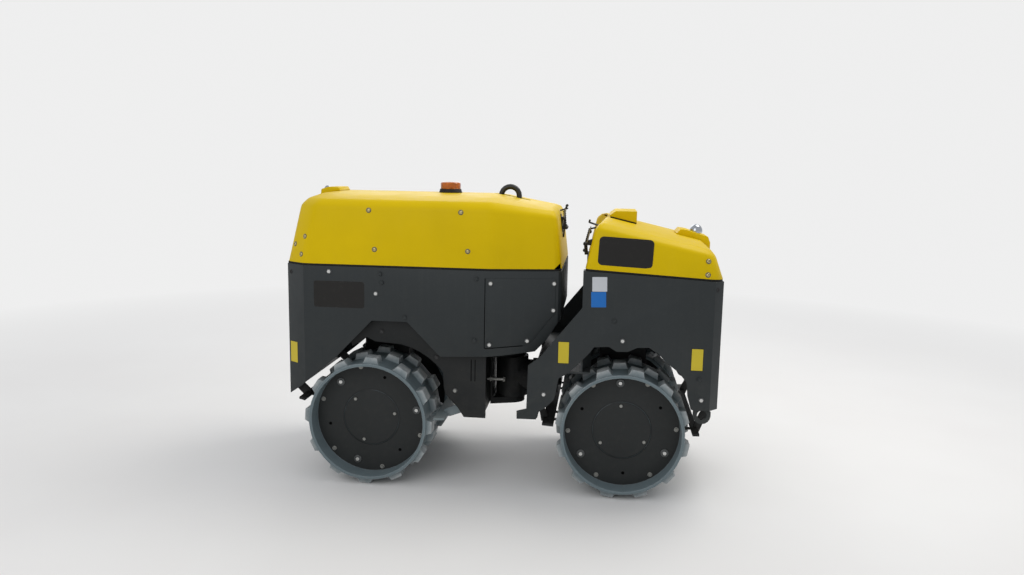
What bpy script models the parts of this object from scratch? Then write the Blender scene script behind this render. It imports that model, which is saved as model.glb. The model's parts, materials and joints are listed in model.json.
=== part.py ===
# Articulated padfoot trench roller, in metres.
# +X is the front section, +Y is its left side, +Z is up. The origin is on the ground under the middle.

import bpy
import bmesh
from math import atan2, cos, hypot, pi, radians, sin
from mathutils import Matrix, Vector

for old in list(bpy.data.objects):
    bpy.data.objects.remove(old, do_unlink=True)

# Driving dimensions
GAP = 0.0003                # seat between two touching pieces
RUN = 0.0008                # running clearance round a pin or a shaft
DRUM_WIDTH = 0.820          # over both drum halves
SHELL_RADIUS = 0.260
LUG_HEIGHT = 0.024
SHELL_WALL = 0.014
CENTRE_SPACE = 0.190        # between the two halves of a drum
DISC_RECESS = 0.078         # drum rim to its end disc
DISC_WALL = 0.014
HUB_RADIUS = 0.075
AXLE_RADIUS = 0.035
REAR_DRUM_X = -0.555
FRONT_DRUM_X = 0.541
REAR_DRUM_TURN = 41.7       # degrees, of the bolt and lug pattern
FRONT_DRUM_TURN = 3.6
LUG_ROWS = 3                # rows on each drum half
LUGS_PER_ROW = 12
LUG_LENGTH = 0.076          # along the axle, at the shell
RIM_BAND = 0.012            # plain band outside the first row
LUG_TAPER_ALONG = 0.006
LUG_TAPER_ROUND = 2.4       # degrees each side

REAR_END = -0.928
FRONT_END = 0.928
REAR_HALF_WIDTH = 0.383
FRONT_HALF_WIDTH = 0.408
REAR_TUB_TOP = 0.957
HOOD_SEAM = 0.009
TUB_WALL = 0.006
SIDE_PLATE = 0.008
REAR_FLOOR = 0.740
FRONT_FLOOR = 0.700
FLOOR_PLATE = 0.008
FRAME_PLATE_Y = REAR_HALF_WIDTH - 0.053     # outer face of the rear frame plates
FRAME_PLATE = 0.012
HOOD_WALL = 0.005
HOOD_CORNER = 0.020         # where the hoods' upright corners start to turn
HOOD_ROLL = 0.013           # where their walls start to roll over into the top
CORNER_STEPS = 2
SEAL_IN = 0.003             # how far the rubber strips lie inside the walls
SEAL_WIDTH = 0.006

PIVOT_X = 0.031
SHAFT_Z = 0.425             # height of the oscillation axis
YOKE_LOW = 0.300
YOKE_HIGH = 0.550
YOKE_PLATE = 0.030
PIN_RADIUS = 0.022
BLOCK_RADIUS = 0.075
SHAFT_RADIUS = 0.045
SLEEVE_RADIUS = 0.078
ARM_REACH = 0.120           # steering arm, pivot to rod eye
BARREL_X = -0.290
BARREL_Y = 0.112
CYLINDER_Z = 0.500
BARREL_RADIUS = 0.028
ROD_RADIUS = 0.013

WIDE = 1.0                  # half length of a cutter that runs right across
AXLE_Z = (SHELL_RADIUS + LUG_HEIGHT) * cos(radians(1.4))


# Materials: colour, roughness, metallic
FINISHES = {
    "yellow_hood": ((0.60, 0.42, 0.02), 0.38, 0.0),
    "grey_panel": ((0.042, 0.048, 0.052), 0.45, 0.0),
    "dark_frame": ((0.020, 0.021, 0.023), 0.55, 0.0),
    "drum_steel": ((0.16, 0.21, 0.23), 0.50, 0.3),
    "black_steel": ((0.012, 0.012, 0.013), 0.50, 0.0),
    "zinc": ((0.55, 0.55, 0.54), 0.35, 1.0),
    "amber_lens": ((0.80, 0.25, 0.02), 0.12, 0.0),
    "black_plastic": ((0.010, 0.010, 0.011), 0.45, 0.0),
    "chrome": ((0.75, 0.76, 0.78), 0.10, 1.0),
    "engine_iron": ((0.050, 0.050, 0.052), 0.60, 0.2),
    "hose_rubber": ((0.012, 0.012, 0.012), 0.60, 0.0),
}


def material(name):
    found = bpy.data.materials.get(name)
    if found:
        return found
    colour, roughness, metallic = FINISHES[name]
    found = bpy.data.materials.new(name)
    found.use_nodes = True
    shader = found.node_tree.nodes["Principled BSDF"]
    shader.inputs["Base Color"].default_value = (*colour, 1.0)
    shader.inputs["Roughness"].default_value = roughness
    shader.inputs["Metallic"].default_value = metallic
    return found


# Shape helpers
def add(name, mesh, finish=None):
    obj = bpy.data.objects.new(name, mesh)
    bpy.context.scene.collection.objects.link(obj)
    if finish:
        mesh.materials.append(material(finish))
    return obj


def from_bmesh(name, bm, finish=None):
    bmesh.ops.recalc_face_normals(bm, faces=bm.faces)
    mesh = bpy.data.meshes.new(name)
    bm.to_mesh(mesh)
    bm.free()
    return add(name, mesh, finish)


AXES = {
    "x": lambda u, v, w: Vector((w, u, v)),
    "y": lambda u, v, w: Vector((u, w, v)),
    "z": lambda u, v, w: Vector((u, v, w)),
}


def prism(points, axis, low, high, name="prism", finish=None):
    """An outline extruded along an axis: (y, z) along x, (x, z) along y, (x, y) along z."""
    place = AXES[axis]
    bm = bmesh.new()
    start = bm.faces.new([bm.verts.new(place(u, v, low)) for u, v in points])
    made = bmesh.ops.extrude_face_region(bm, geom=[start])["geom"]
    shift = place(0, 0, high) - place(0, 0, low)
    bmesh.ops.translate(bm, vec=shift, verts=[g for g in made if isinstance(g, bmesh.types.BMVert)])
    return from_bmesh(name, bm, finish)


def box(x, y, z, name="box", finish=None):
    corners = [(x[0], y[0]), (x[1], y[0]), (x[1], y[1]), (x[0], y[1])]
    return prism(corners, "z", z[0], z[1], name, finish)


def circle(u, v, radius, sides, turn=0.0):
    return [
        (u + radius * cos(2 * pi * (i + turn) / sides), v + radius * sin(2 * pi * (i + turn) / sides))
        for i in range(sides)
    ]


def rod(axis, u, v, radius, low, high, sides=16, name="rod", finish=None):
    return prism(circle(u, v, radius, sides), axis, low, high, name, finish)


def arc(u, v, radius, start, end, steps):
    return [
        (u + radius * cos(radians(start + (end - start) * i / steps)),
         v + radius * sin(radians(start + (end - start) * i / steps)))
        for i in range(steps + 1)
    ]


def bake(obj, modifiers):
    """Applies the object's modifiers and removes the helpers that they used."""
    helpers = []
    for kind, settings in modifiers:
        modifier = obj.modifiers.new(kind.title(), kind)
        for key, value in settings.items():
            setattr(modifier, key, value)
        if "object" in settings:
            helpers.append(settings["object"])
    graph = bpy.context.evaluated_depsgraph_get()
    mesh = bpy.data.meshes.new_from_object(obj.evaluated_get(graph), depsgraph=graph)
    obj.modifiers.clear()
    obj.data = mesh
    for helper in helpers:
        bpy.data.objects.remove(helper, do_unlink=True)
    return obj


def join(base, *others):
    return bake(base, [("BOOLEAN", {"operation": "UNION", "object": o}) for o in others])


def cut(base, *others):
    return bake(base, [("BOOLEAN", {"operation": "DIFFERENCE", "object": o}) for o in others])


def keep(base, other):
    return bake(base, [("BOOLEAN", {"operation": "INTERSECT", "object": other})])


def finish_as(obj, name, finish):
    obj.name = name
    obj.data.name = name
    obj.data.materials.clear()
    obj.data.materials.append(material(finish))
    return obj


def smooth(obj, angle=35):
    obj.data.shade_smooth()
    obj.data.set_sharp_from_angle(angle=radians(angle))
    return obj


def origin_at(obj, point):
    """Moves the object's origin to a point and leaves its shape where it is."""
    obj.data.transform(Matrix.Translation(-Vector(point)))
    obj.location = point
    return obj


def mirrored(points):
    """An outline drawn on one side, closed by its mirror image across the second coordinate."""
    return points + [(u, -v) for u, v in reversed(points)]


def turned(before, corner, after, reach):
    """The points of a soft corner that starts and ends at most reach away from the sharp one."""
    before, corner, after = Vector(before), Vector(corner), Vector(after)
    start = corner + (before - corner) * min(0.45, reach / (before - corner).length)
    end = corner + (after - corner) * min(0.45, reach / (after - corner).length)
    steps = [i / CORNER_STEPS for i in range(CORNER_STEPS + 1)]
    return [tuple(start * (1 - t) ** 2 + corner * (2 * t * (1 - t)) + end * t ** 2) for t in steps]


def soft_level(half, reach):
    """A closed loop from its left half, with every corner of the plan softened."""
    flip = [(x, -y, z) for x, y, z in half]
    before = [flip[0]] + half[:-1]
    after = half[1:] + [flip[-1]]
    points = [p for b, c, a in zip(before, half, after) for p in turned(b, c, a, reach)]
    return points + [(x, -y, z) for x, y, z in reversed(points)]


def soft_levels(levels, reach):
    """Adds levels so that the walls roll over into the top."""
    made = [levels[0]]
    for below, level, above in zip(levels, levels[1:], levels[2:]):
        columns = [turned(b, c, a, reach) for b, c, a in zip(below, level, above)]
        made += [[column[i] for column in columns] for i in range(CORNER_STEPS + 1)]
    return made + [levels[-1]]


def loft(levels, name, finish=None, flat_ends=False):
    """Joins loops of 3-D points, one after the other. Ends that aren't flat are closed by strips."""
    bm = bmesh.new()
    rings = [[bm.verts.new(p) for p in level] for level in levels]
    count = len(rings[0])
    for low, high in zip(rings, rings[1:]):
        for i in range(count):
            j = (i + 1) % count
            bm.faces.new((low[i], low[j], high[j], high[i]))
    for ring in (rings[0], rings[-1]):
        if flat_ends:
            bm.faces.new(ring)
            continue
        for i in range(count // 2 - 1):
            bm.faces.new((ring[i], ring[i + 1], ring[count - 2 - i], ring[count - 1 - i]))
    return from_bmesh(name, bm, finish)


# Padfoot drums
SECTORS = 2 * LUGS_PER_ROW
SECTOR = 360 / SECTORS
HALF_DRUM = (DRUM_WIDTH - CENTRE_SPACE) / 2
ROW_PITCH = (HALF_DRUM - 2 * RIM_BAND + (HALF_DRUM - 2 * RIM_BAND - LUG_ROWS * LUG_LENGTH) / (LUG_ROWS - 1)) / LUG_ROWS


def drum_half(name, centre_x, turn, side):
    """One half of a drum: a shell with rows of staggered lugs, an end disc and an inner hub."""
    bm = bmesh.new()

    def point(y, radius, degrees_round):
        a = radians(degrees_round)
        return (centre_x + radius * cos(a), side * y, AXLE_Z + radius * sin(a))

    def ring(y, radius, sides):
        first = turn - SECTOR / 2
        return [bm.verts.new(point(y, radius, first + 360 * i / sides)) for i in range(sides)]

    def bridge(a, b):
        for i in range(len(a)):
            j = (i + 1) % len(a)
            bm.faces.new((a[i], a[j], b[j], b[i]))

    def bridge_fine(fine, coarse):
        for i in range(len(coarse)):
            j = (i + 1) % len(coarse)
            left, mid, right = fine[2 * i], fine[2 * i + 1], fine[(2 * i + 2) % len(fine)]
            bm.faces.new((left, mid, coarse[i]))
            bm.faces.new((mid, right, coarse[j]))
            bm.faces.new((mid, coarse[j], coarse[i]))

    outer = DRUM_WIDTH / 2
    inner = CENTRE_SPACE / 2
    rim = ring(outer, SHELL_RADIUS, 2 * SECTORS)
    last = None
    for row in range(LUG_ROWS):
        start = outer - RIM_BAND - row * ROW_PITCH
        near = ring(start, SHELL_RADIUS, SECTORS)
        if last is None:
            bridge_fine(rim, near)
        else:
            bridge(last, near)
        far = ring(start - LUG_LENGTH, SHELL_RADIUS, SECTORS)
        for i in range(SECTORS):
            j = (i + 1) % SECTORS
            base = (near[i], near[j], far[j], far[i])
            if i % 2 == row % 2:
                bm.faces.new(base)
                continue
            a0 = turn - SECTOR / 2 + i * SECTOR + LUG_TAPER_ROUND
            a1 = turn - SECTOR / 2 + (i + 1) * SECTOR - LUG_TAPER_ROUND
            y0 = start - LUG_TAPER_ALONG
            y1 = start - LUG_LENGTH + LUG_TAPER_ALONG
            tip = SHELL_RADIUS + LUG_HEIGHT
            top = [bm.verts.new(point(y, tip, a)) for y, a in ((y0, a0), (y0, a1), (y1, a1), (y1, a0))]
            bm.faces.new(top)
            for k in range(4):
                m = (k + 1) % 4
                bm.faces.new((base[k], base[m], top[m], top[k]))
        last = far
    edge = ring(inner, SHELL_RADIUS, SECTORS)
    bridge(last, edge)
    inside = [
        ring(inner, SHELL_RADIUS - SHELL_WALL, SECTORS),
        ring(outer - DISC_RECESS - DISC_WALL, SHELL_RADIUS - SHELL_WALL, SECTORS),
        ring(outer - DISC_RECESS - DISC_WALL, HUB_RADIUS, SECTORS),
        ring(inner + GAP, HUB_RADIUS, SECTORS),
    ]
    bridge(edge, inside[0])
    for a, b in zip(inside, inside[1:]):
        bridge(a, b)
    bm.faces.new(inside[-1])
    step = 0.004
    face = [
        ring(outer, SHELL_RADIUS - SHELL_WALL, 2 * SECTORS),
        ring(outer - DISC_RECESS, SHELL_RADIUS - SHELL_WALL, 2 * SECTORS),
        ring(outer - DISC_RECESS, SHELL_RADIUS / 2 - step, 2 * SECTORS),
        ring(outer - DISC_RECESS + step, SHELL_RADIUS / 2 - 2 * step, 2 * SECTORS),
    ]
    bridge(rim, face[0])
    for a, b in zip(face, face[1:]):
        bridge(a, b)
    bm.faces.new(face[-1])
    made = smooth(from_bmesh(name, bm, "drum_steel"), 25)
    return origin_at(made, (centre_x, 0, AXLE_Z))


def drum(prefix, centre_x, turn):
    drum_half(f"{prefix}_drum_left", centre_x, turn, 1)
    drum_half(f"{prefix}_drum_right", centre_x, turn, -1)
    reach = CENTRE_SPACE / 2
    axle = rod("y", centre_x, AXLE_Z, AXLE_RADIUS, -reach, reach, 24, f"{prefix}_drum_axle", "black_steel")
    origin_at(smooth(axle), (centre_x, 0, AXLE_Z))


def drum_carrier(prefix, centre_x, top):
    """The leg between the drum halves, with the drive housing round the axle."""
    half = 0.060
    boss = 0.118
    leg = 0.105
    outline = [(centre_x - leg, top), (centre_x - leg, AXLE_Z + 0.12)]
    outline += arc(centre_x, AXLE_Z, boss, 180, 360, 12)
    outline += [(centre_x + leg, AXLE_Z + 0.12), (centre_x + leg, top)]
    made = prism(outline, "y", -half, half)
    flange = rod("y", centre_x, AXLE_Z, 0.092, -CENTRE_SPACE / 2 + 0.006, CENTRE_SPACE / 2 - 0.006, 24)
    bore = rod("y", centre_x, AXLE_Z, AXLE_RADIUS + RUN, -1, 1, 24)
    made = cut(join(made, flange), bore)
    return smooth(finish_as(made, f"{prefix}_drum_carrier", "dark_frame"))


# Scrapers: a bar along the drum with teeth between the lug rows
def scraper(name, centre_x, direction, angle, deep, mount_x, mount_z, finish):
    """A bar just outside the lugs. direction is +1 or -1 along X; angle is measured at the axle."""
    clear = 0.007
    tip = SHELL_RADIUS + LUG_HEIGHT
    a = radians(angle)
    reach = DRUM_WIDTH / 2 - 0.012

    def at(radius, lift):
        return (centre_x + direction * (radius * cos(a) - lift * sin(a)), AXLE_Z + radius * sin(a) + lift * cos(a))

    thick = 0.010
    blade = prism([at(tip + clear, 0), at(tip + deep, 0), at(tip + deep, thick), at(tip + clear, thick)],
                  "y", -reach, reach)
    tooth = 0.013
    teeth = []
    for row in range(LUG_ROWS - 1):
        y = DRUM_WIDTH / 2 - RIM_BAND - LUG_LENGTH - row * ROW_PITCH - (ROW_PITCH - LUG_LENGTH) / 2
        for side in (-1, 1):
            teeth.append(prism([at(SHELL_RADIUS + clear, 0.001), at(tip + 0.02, 0.001),
                                at(tip + 0.02, thick - 0.001), at(SHELL_RADIUS + clear, thick - 0.001)],
                               "y", side * y - tooth / 2, side * y + tooth / 2))
    arms = []
    x0, z0 = at(tip + deep - 0.005, thick / 2)
    for side in (-1, 1):
        y = side * 0.300
        arms.append(prism([(x0 - direction * 0.012, z0 - 0.014), (x0 - direction * 0.012, z0 + 0.014),
                           (mount_x, mount_z + 0.025), (mount_x, mount_z - 0.025), (x0 + direction * 0.014, z0 - 0.014)],
                          "y", y - 0.006, y + 0.006))
    made = join(blade, *teeth, *arms)
    return finish_as(made, name, finish)


# Rear section: tub, frame, joint yoke
REAR_CHAMFER_X = -0.836
REAR_CHAMFER_Y = REAR_HALF_WIDTH - 0.060
TAPER_X = -0.030
REAR_FACE = 0.266
REAR_FACE_Y = REAR_HALF_WIDTH - 0.063
REAR_PLAN = [
    (REAR_END, REAR_CHAMFER_Y), (REAR_CHAMFER_X, REAR_HALF_WIDTH),
    (TAPER_X, REAR_HALF_WIDTH), (REAR_FACE - 0.012, REAR_FACE_Y), (REAR_FACE, REAR_FACE_Y - 0.014),
]


def inset(points, wall):
    """The outline moved inwards by a wall thickness. Corners are mitred."""
    count = len(points)
    area = sum(points[i][0] * points[(i + 1) % count][1] - points[(i + 1) % count][0] * points[i][1]
               for i in range(count))
    turn = 1 if area > 0 else -1
    moved = []
    for i in range(count):
        (x0, y0), (x1, y1), (x2, y2) = points[i - 1], points[i], points[(i + 1) % count]
        a = Vector((x1 - x0, y1 - y0)).normalized()
        b = Vector((x2 - x1, y2 - y1)).normalized()
        na = Vector((-a.y, a.x)) * turn
        nb = Vector((-b.y, b.x)) * turn
        mitre = (na + nb) / (1 + na.dot(nb))
        moved.append((x1 + mitre.x * wall, y1 + mitre.y * wall))
    return moved


REAR_SIDE = [
    (REAR_END - 0.01, 0.370), (REAR_END, 0.374), (-0.862, 0.420), (-0.693, 0.565), (-0.538, 0.727),
    (-0.383, 0.727), (-0.251, 0.593), (-0.239, 0.582), (-0.030, 0.591), (0.030, 0.596), (0.162, 0.613),
    (0.210, 0.664), (REAR_FACE, 0.756), (REAR_FACE + 0.01, 0.760), (REAR_FACE + 0.01, REAR_TUB_TOP),
    (REAR_END - 0.01, REAR_TUB_TOP),
]


def rear_tub():
    plan = mirrored(REAR_PLAN)
    walls = cut(prism(plan, "z", 0.36, REAR_TUB_TOP), prism(inset(plan, TUB_WALL), "z", 0.3, 1.1))
    walls = keep(walls, prism(REAR_SIDE, "y", -WIDE, WIDE))
    floor = prism(inset(plan, TUB_WALL / 2), "z", REAR_FLOOR, REAR_FLOOR + FLOOR_PLATE)
    made = join(walls, floor)
    return finish_as(made, "rear_tub", "grey_panel")


REAR_FRAME_SIDE = [
    (-0.700, REAR_FLOOR - GAP), (-0.640, 0.600), (-0.574, 0.643), (-0.538, 0.625),
] + arc(-0.490, 0.302, 0.322, 78, 38, 5) + [
    (-0.233, 0.433), (-0.227, 0.405), (-0.171, 0.346), (-0.144, 0.304), (-0.049, 0.304),
    (-0.049, REAR_FLOOR - GAP),
]


def rear_frame():
    for name, side in (("left", 1), ("right", -1)):
        low, high = sorted((side * FRAME_PLATE_Y, side * (FRAME_PLATE_Y - FRAME_PLATE)))
        prism(REAR_FRAME_SIDE, "y", low, high, f"rear_frame_plate_{name}", "grey_panel")
    reach = FRAME_PLATE_Y - FRAME_PLATE - GAP
    beam = box((-0.110, -0.060), (-reach, reach), (YOKE_LOW + 0.01, 0.600))
    web = box((-0.110, -0.060), (-0.100, 0.100), (0.590, REAR_FLOOR - GAP))
    window = box((-0.2, 0.0), (BARREL_Y - 0.034, BARREL_Y + 0.034), (CYLINDER_Z - 0.028, CYLINDER_Z + 0.028))
    made = cut(join(beam, web), window)
    finish_as(made, "rear_cross_beam", "dark_frame")


def yoke():
    """Two ears on the cross beam that hold the steering pin."""
    ears = []
    for low, high in ((YOKE_LOW, YOKE_LOW + YOKE_PLATE), (YOKE_HIGH - YOKE_PLATE, YOKE_HIGH)):
        outline = [(-0.060 + GAP, -0.095)] + arc(PIVOT_X, 0, 0.060, -70, 70, 8) + [(-0.060 + GAP, 0.095)]
        ears.append(prism(outline, "z", low, high))
    back = box((-0.060 + GAP, -0.050), (-0.095, 0.095), (YOKE_LOW + 0.005, YOKE_HIGH - 0.005))
    hole = rod("z", PIVOT_X, 0, PIN_RADIUS + GAP, 0, 1, 20)
    made = cut(join(back, *ears), hole)
    finish_as(made, "rear_yoke", "dark_frame")
    pin = rod("z", PIVOT_X, 0, PIN_RADIUS, YOKE_LOW - 0.012, YOKE_HIGH + 0.004, 20)
    head = rod("z", PIVOT_X, 0, PIN_RADIUS + 0.012, YOKE_HIGH + GAP, YOKE_HIGH + 0.012, 20)
    smooth(finish_as(join(pin, head), "steering_pin", "zinc"))


def engine():
    made = box((-0.520, -0.070), (-0.230, 0.230), (REAR_FLOOR + FLOOR_PLATE + GAP, 1.130),
               "engine_block", "engine_iron")
    return made


def lifting_eye():
    """A bent bar over a post that stands on the tub floor."""
    x = 0.007
    half = 0.041
    bar = 0.0125
    foot = REAR_FLOOR + FLOOR_PLATE + GAP
    path = [(x - half, 1.20)] + arc(x, 1.258, half, 180, 0, 10) + [(x + half, 1.20)]
    curve = bpy.data.curves.new("lifting_eye", "CURVE")
    curve.dimensions = "3D"
    curve.bevel_depth = bar
    curve.bevel_resolution = 2
    curve.use_fill_caps = True
    spline = curve.splines.new("POLY")
    spline.points.add(len(path) - 1)
    for p, (u, v) in zip(spline.points, path):
        p.co = (u, 0, v, 1)
    loop = bpy.data.objects.new("loop", curve)
    bpy.context.scene.collection.objects.link(loop)
    graph = bpy.context.evaluated_depsgraph_get()
    mesh = bpy.data.meshes.new_from_object(loop.evaluated_get(graph))
    bpy.data.objects.remove(loop, do_unlink=True)
    bm = bmesh.new()
    bm.from_mesh(mesh)
    bmesh.ops.remove_doubles(bm, verts=bm.verts, dist=0.00005)
    ring = from_bmesh("ring", bm)
    post = box((x - 0.045, x + 0.045), (-0.015, 0.015), (foot + 0.005, 1.215))
    base = box((x - 0.060, x + 0.060), (-0.080, 0.080), (foot, foot + 0.012))
    made = join(post, base, ring)
    return smooth(finish_as(made, "lifting_eye", "black_steel"))


def access_panels():
    """Cover plates on the narrowing flanks by the joint."""
    fold = Vector((TAPER_X, REAR_HALF_WIDTH))
    end = Vector((REAR_FACE - 0.012, REAR_FACE_Y))
    along = (end - fold).normalized()
    side_out, out = Vector((0, 1)), Vector((-along.y, along.x))
    mitre = (side_out + out) / (1 + side_out.dot(out))
    start = fold - Vector((0.018, 0))
    end -= along * 0.012
    plan = [tuple(p + d * GAP) for p, d in ((start, side_out), (fold, mitre), (end, out))]
    plan += [tuple(p + d * 0.0033) for p, d in ((end, out), (fold, mitre), (start, side_out))]
    side = [(-0.1, 0.628), (0.110, 0.640), (0.150, 0.660), (0.235, 0.770), (0.5, 0.770), (0.5, 0.925), (-0.1, 0.925)]
    for name, flip in (("left", 1), ("right", -1)):
        made = prism([(x, y * flip) for x, y in plan], "z", 0.5, 1.0)
        made = keep(made, prism(side, "y", -WIDE, WIDE))
        finish_as(made, f"access_panel_{name}", "grey_panel")


# Hoods: lofted shells with a crowned top
HOOD_BASE = REAR_TUB_TOP + HOOD_SEAM
# Each row is one level. The in_ columns are distances inwards from the half width.
# x_end, in_end, x_chamfer, in_side, x_taper, x_face, in_face, z_body, z_face
REAR_HOOD = [
    (REAR_END, 0.060, REAR_CHAMFER_X, 0.0, TAPER_X, REAR_FACE, 0.065, HOOD_BASE, HOOD_BASE),
    (-0.874, 0.085, -0.787, 0.012, -0.032, 0.238, 0.077, 1.212, 1.186),
    (-0.850, 0.111, -0.768, 0.038, -0.034, 0.226, 0.101, 1.240, 1.206),
    (-0.815, 0.183, -0.740, 0.143, -0.036, 0.212, 0.183, 1.258, 1.216),
    (-0.780, 0.303, -0.720, 0.293, -0.038, 0.200, 0.303, 1.266, 1.220),
]


def rear_hood_level(row):
    x_end, in_end, x_chamfer, in_side, x_taper, x_face, in_face, z_body, z_face = row
    y_end, y_side, y_face = (REAR_HALF_WIDTH - inwards for inwards in (in_end, in_side, in_face))
    half = [(x_end, y_end, z_body), (x_chamfer, y_side, z_body), (x_taper, y_side, z_body), (x_face, y_face, z_face)]
    return soft_level(half, HOOD_CORNER)


def rear_hood_levels():
    return soft_levels([rear_hood_level(row) for row in REAR_HOOD], HOOD_ROLL)


TRIM = 0.006                # depth below a hood's rim that is cut off after it gets its wall


def hollow_hood(levels, name, flat_ends):
    """A lofted shell, open below. Its room is made of the same levels, moved in and down by the wall."""
    room = []
    for level in levels:
        plan = inset([(x, y) for x, y, _ in level], HOOD_WALL)
        room.append([(x, y, z - HOOD_WALL) for (x, y), (_, _, z) in zip(plan, level)])
    return cut(loft(levels, name, "yellow_hood", flat_ends), loft(room, "room", None, flat_ends))


REAR_HINGE = (REAR_END - 0.010, 0.0, REAR_TUB_TOP + HOOD_SEAM / 2)
FRONT_HINGE = (FRONT_END + 0.010, 0.0, 0.9475)
HINGE_PIN = 0.005


def strapped(shell, hinge, out, lean):
    """Adds the two straps that run from a hood round its hinge pin. out is -1 at the rear end, +1 at the front.
    lean is how far the hood's end wall has moved inwards 50 mm above the pin."""
    x, _, z = hinge
    straps = []
    for side in (-1, 1):
        low, high = sorted((side * 0.070, side * 0.100))
        top = 0.010 + lean
        plate = prism([(x + out * 0.006, z), (x + out * 0.006, z + 0.010), (x - out * (top - 0.003), z + 0.050),
                       (x - out * (top + 0.003), z + 0.050), (x - out * 0.006, z)], "y", low, high)
        straps.append(join(plate, rod("y", x, z, 0.009, low, high, 16)))
    bore = rod("y", x, z, HINGE_PIN + RUN, -0.5, 0.5, 16)
    return cut(join(shell, *straps), bore)


def rear_hood():
    levels = rear_hood_levels()
    levels[0] = [(x, y, z - TRIM) for x, y, z in levels[0]]
    shell = hollow_hood(levels, "engine_hood", False)
    corner = prism([(REAR_FACE - 0.030, HOOD_BASE - 0.02), (REAR_FACE - 0.030, HOOD_BASE + 0.002),
                    (REAR_FACE - 0.004, HOOD_BASE + 0.028), (REAR_FACE + 0.1, HOOD_BASE + 0.028),
                    (REAR_FACE + 0.1, HOOD_BASE - 0.02)], "y", -WIDE, WIDE)
    middle = box((0.1, 0.5), (-0.29, 0.29), (0.8, 1.1))
    below = box((-1.0, 0.4), (-WIDE, WIDE), (0.90, HOOD_BASE))
    shell = strapped(cut(shell, cut(corner, middle), below), REAR_HINGE, -1, 0.010)
    slot = box((-0.060, 0.100), (-0.024, 0.024), (1.15, 1.30))
    return origin_at(smooth(finish_as(cut(shell, slot), "engine_hood", "yellow_hood"), 30), REAR_HINGE)


def rear_hood_seal():
    """The rubber strip between the rear tub and its hood."""
    plan = mirrored(REAR_PLAN)
    outer, inner = inset(plan, SEAL_IN), inset(plan, SEAL_IN + SEAL_WIDTH)
    made = cut(prism(outer, "z", REAR_TUB_TOP + GAP, HOOD_BASE - GAP), prism(inner, "z", 0.9, 1.1))
    return finish_as(made, "rear_hood_seal", "hose_rubber")


def hood_hinges():
    """Pins held in ears on the end walls."""
    for name, (x, y, z), side, wall in (
        ("rear", REAR_HINGE, -1, REAR_END), ("front", FRONT_HINGE, 1, FRONT_END),
    ):
        pin = rod("y", x, z, HINGE_PIN, -0.130, 0.130, 12)
        ears = [box(sorted((wall + side * GAP, x + side * 0.007)), (e - 0.006, e + 0.006), (z - 0.045, z + 0.003))
                for e in (-0.120, 0.120)]
        finish_as(join(pin, *ears), f"{name}_hood_hinge", "black_steel")


def beacon():
    x = -0.270
    base = rod("z", x, 0, 0.053, 1.266 + GAP, 1.283, 24, "beacon_base", "black_plastic")
    origin_at(smooth(base), REAR_HINGE)
    sides = 24
    rings = [(0.0465, 1.283 + GAP), (0.0455, 1.300), (0.038, 1.311), (0.020, 1.315)]
    levels = [[(u, v, z) for u, v in circle(x, 0, r, sides)] for r, z in rings]
    origin_at(smooth(loft(levels, "beacon_lens", "amber_lens")), REAR_HINGE)


def seated(piece, levels, flat_ends, shift=(0.0, GAP)):
    """Cuts a piece off just outside the hood surface that carries it. shift is along X and Z."""
    moved = [[(x + shift[0], y, z + shift[1]) for x, y, z in level] for level in levels]
    return cut(piece, loft(moved, "hood_solid", None, flat_ends))


def rear_receiver():
    """The raised receiver housing at the outer end of the engine hood."""
    profile = [(-0.868, 1.200), (-0.860, 1.272), (-0.826, 1.283), (-0.778, 1.283), (-0.766, 1.262), (-0.766, 1.200)]
    body = seated(prism(profile, "y", -0.075, 0.075), rear_hood_levels(), False)
    made = finish_as(body, "rear_receiver_housing", "yellow_hood")
    return origin_at(made, REAR_HINGE)


def front_top(x):
    """Height of the front tub's top edge."""
    return 0.973 - (x - 0.359) * 0.030 / 0.569


FRONT_FACE = 0.359
FACE_RECESS = 0.034
FRONT_CHAMFER = 0.036
RECESS_Y = FRONT_HALF_WIDTH - 0.118
RECESS_EDGE_Y = FRONT_HALF_WIDTH - 0.056
FRONT_PLAN = [
    (FRONT_FACE + FACE_RECESS, RECESS_Y), (FRONT_FACE, RECESS_EDGE_Y), (FRONT_FACE, FRONT_HALF_WIDTH),
    (FRONT_END - FRONT_CHAMFER, FRONT_HALF_WIDTH), (FRONT_END, FRONT_HALF_WIDTH - FRONT_CHAMFER),
]
FRONT_SIDE = [
    (FRONT_FACE, 0.973), (FRONT_FACE, 0.819), (0.188, 0.604), (0.140, 0.567), (0.136, 0.379), (0.095, 0.368),
    (0.096, 0.334), (0.178, 0.335), (0.184, 0.365), (0.215, 0.387), (0.251, 0.424), (0.258, 0.450),
    (0.269, 0.517), (0.301, 0.536), (0.348, 0.580), (0.398, 0.636), (0.412, 0.657), (0.473, 0.661),
    (0.505, 0.642), (0.551, 0.643), (0.590, 0.662), (0.637, 0.664), (0.679, 0.637), (0.714, 0.601),
    (0.763, 0.564), (0.795, 0.524), (0.801, 0.468), (0.817, 0.412), (0.827, 0.408), (0.926, 0.409),
    (FRONT_END, 0.409), (FRONT_END, 0.943),
]
WALL_X = 0.171              # lower cross wall of the front section
SHELF_Z = 0.540


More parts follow.
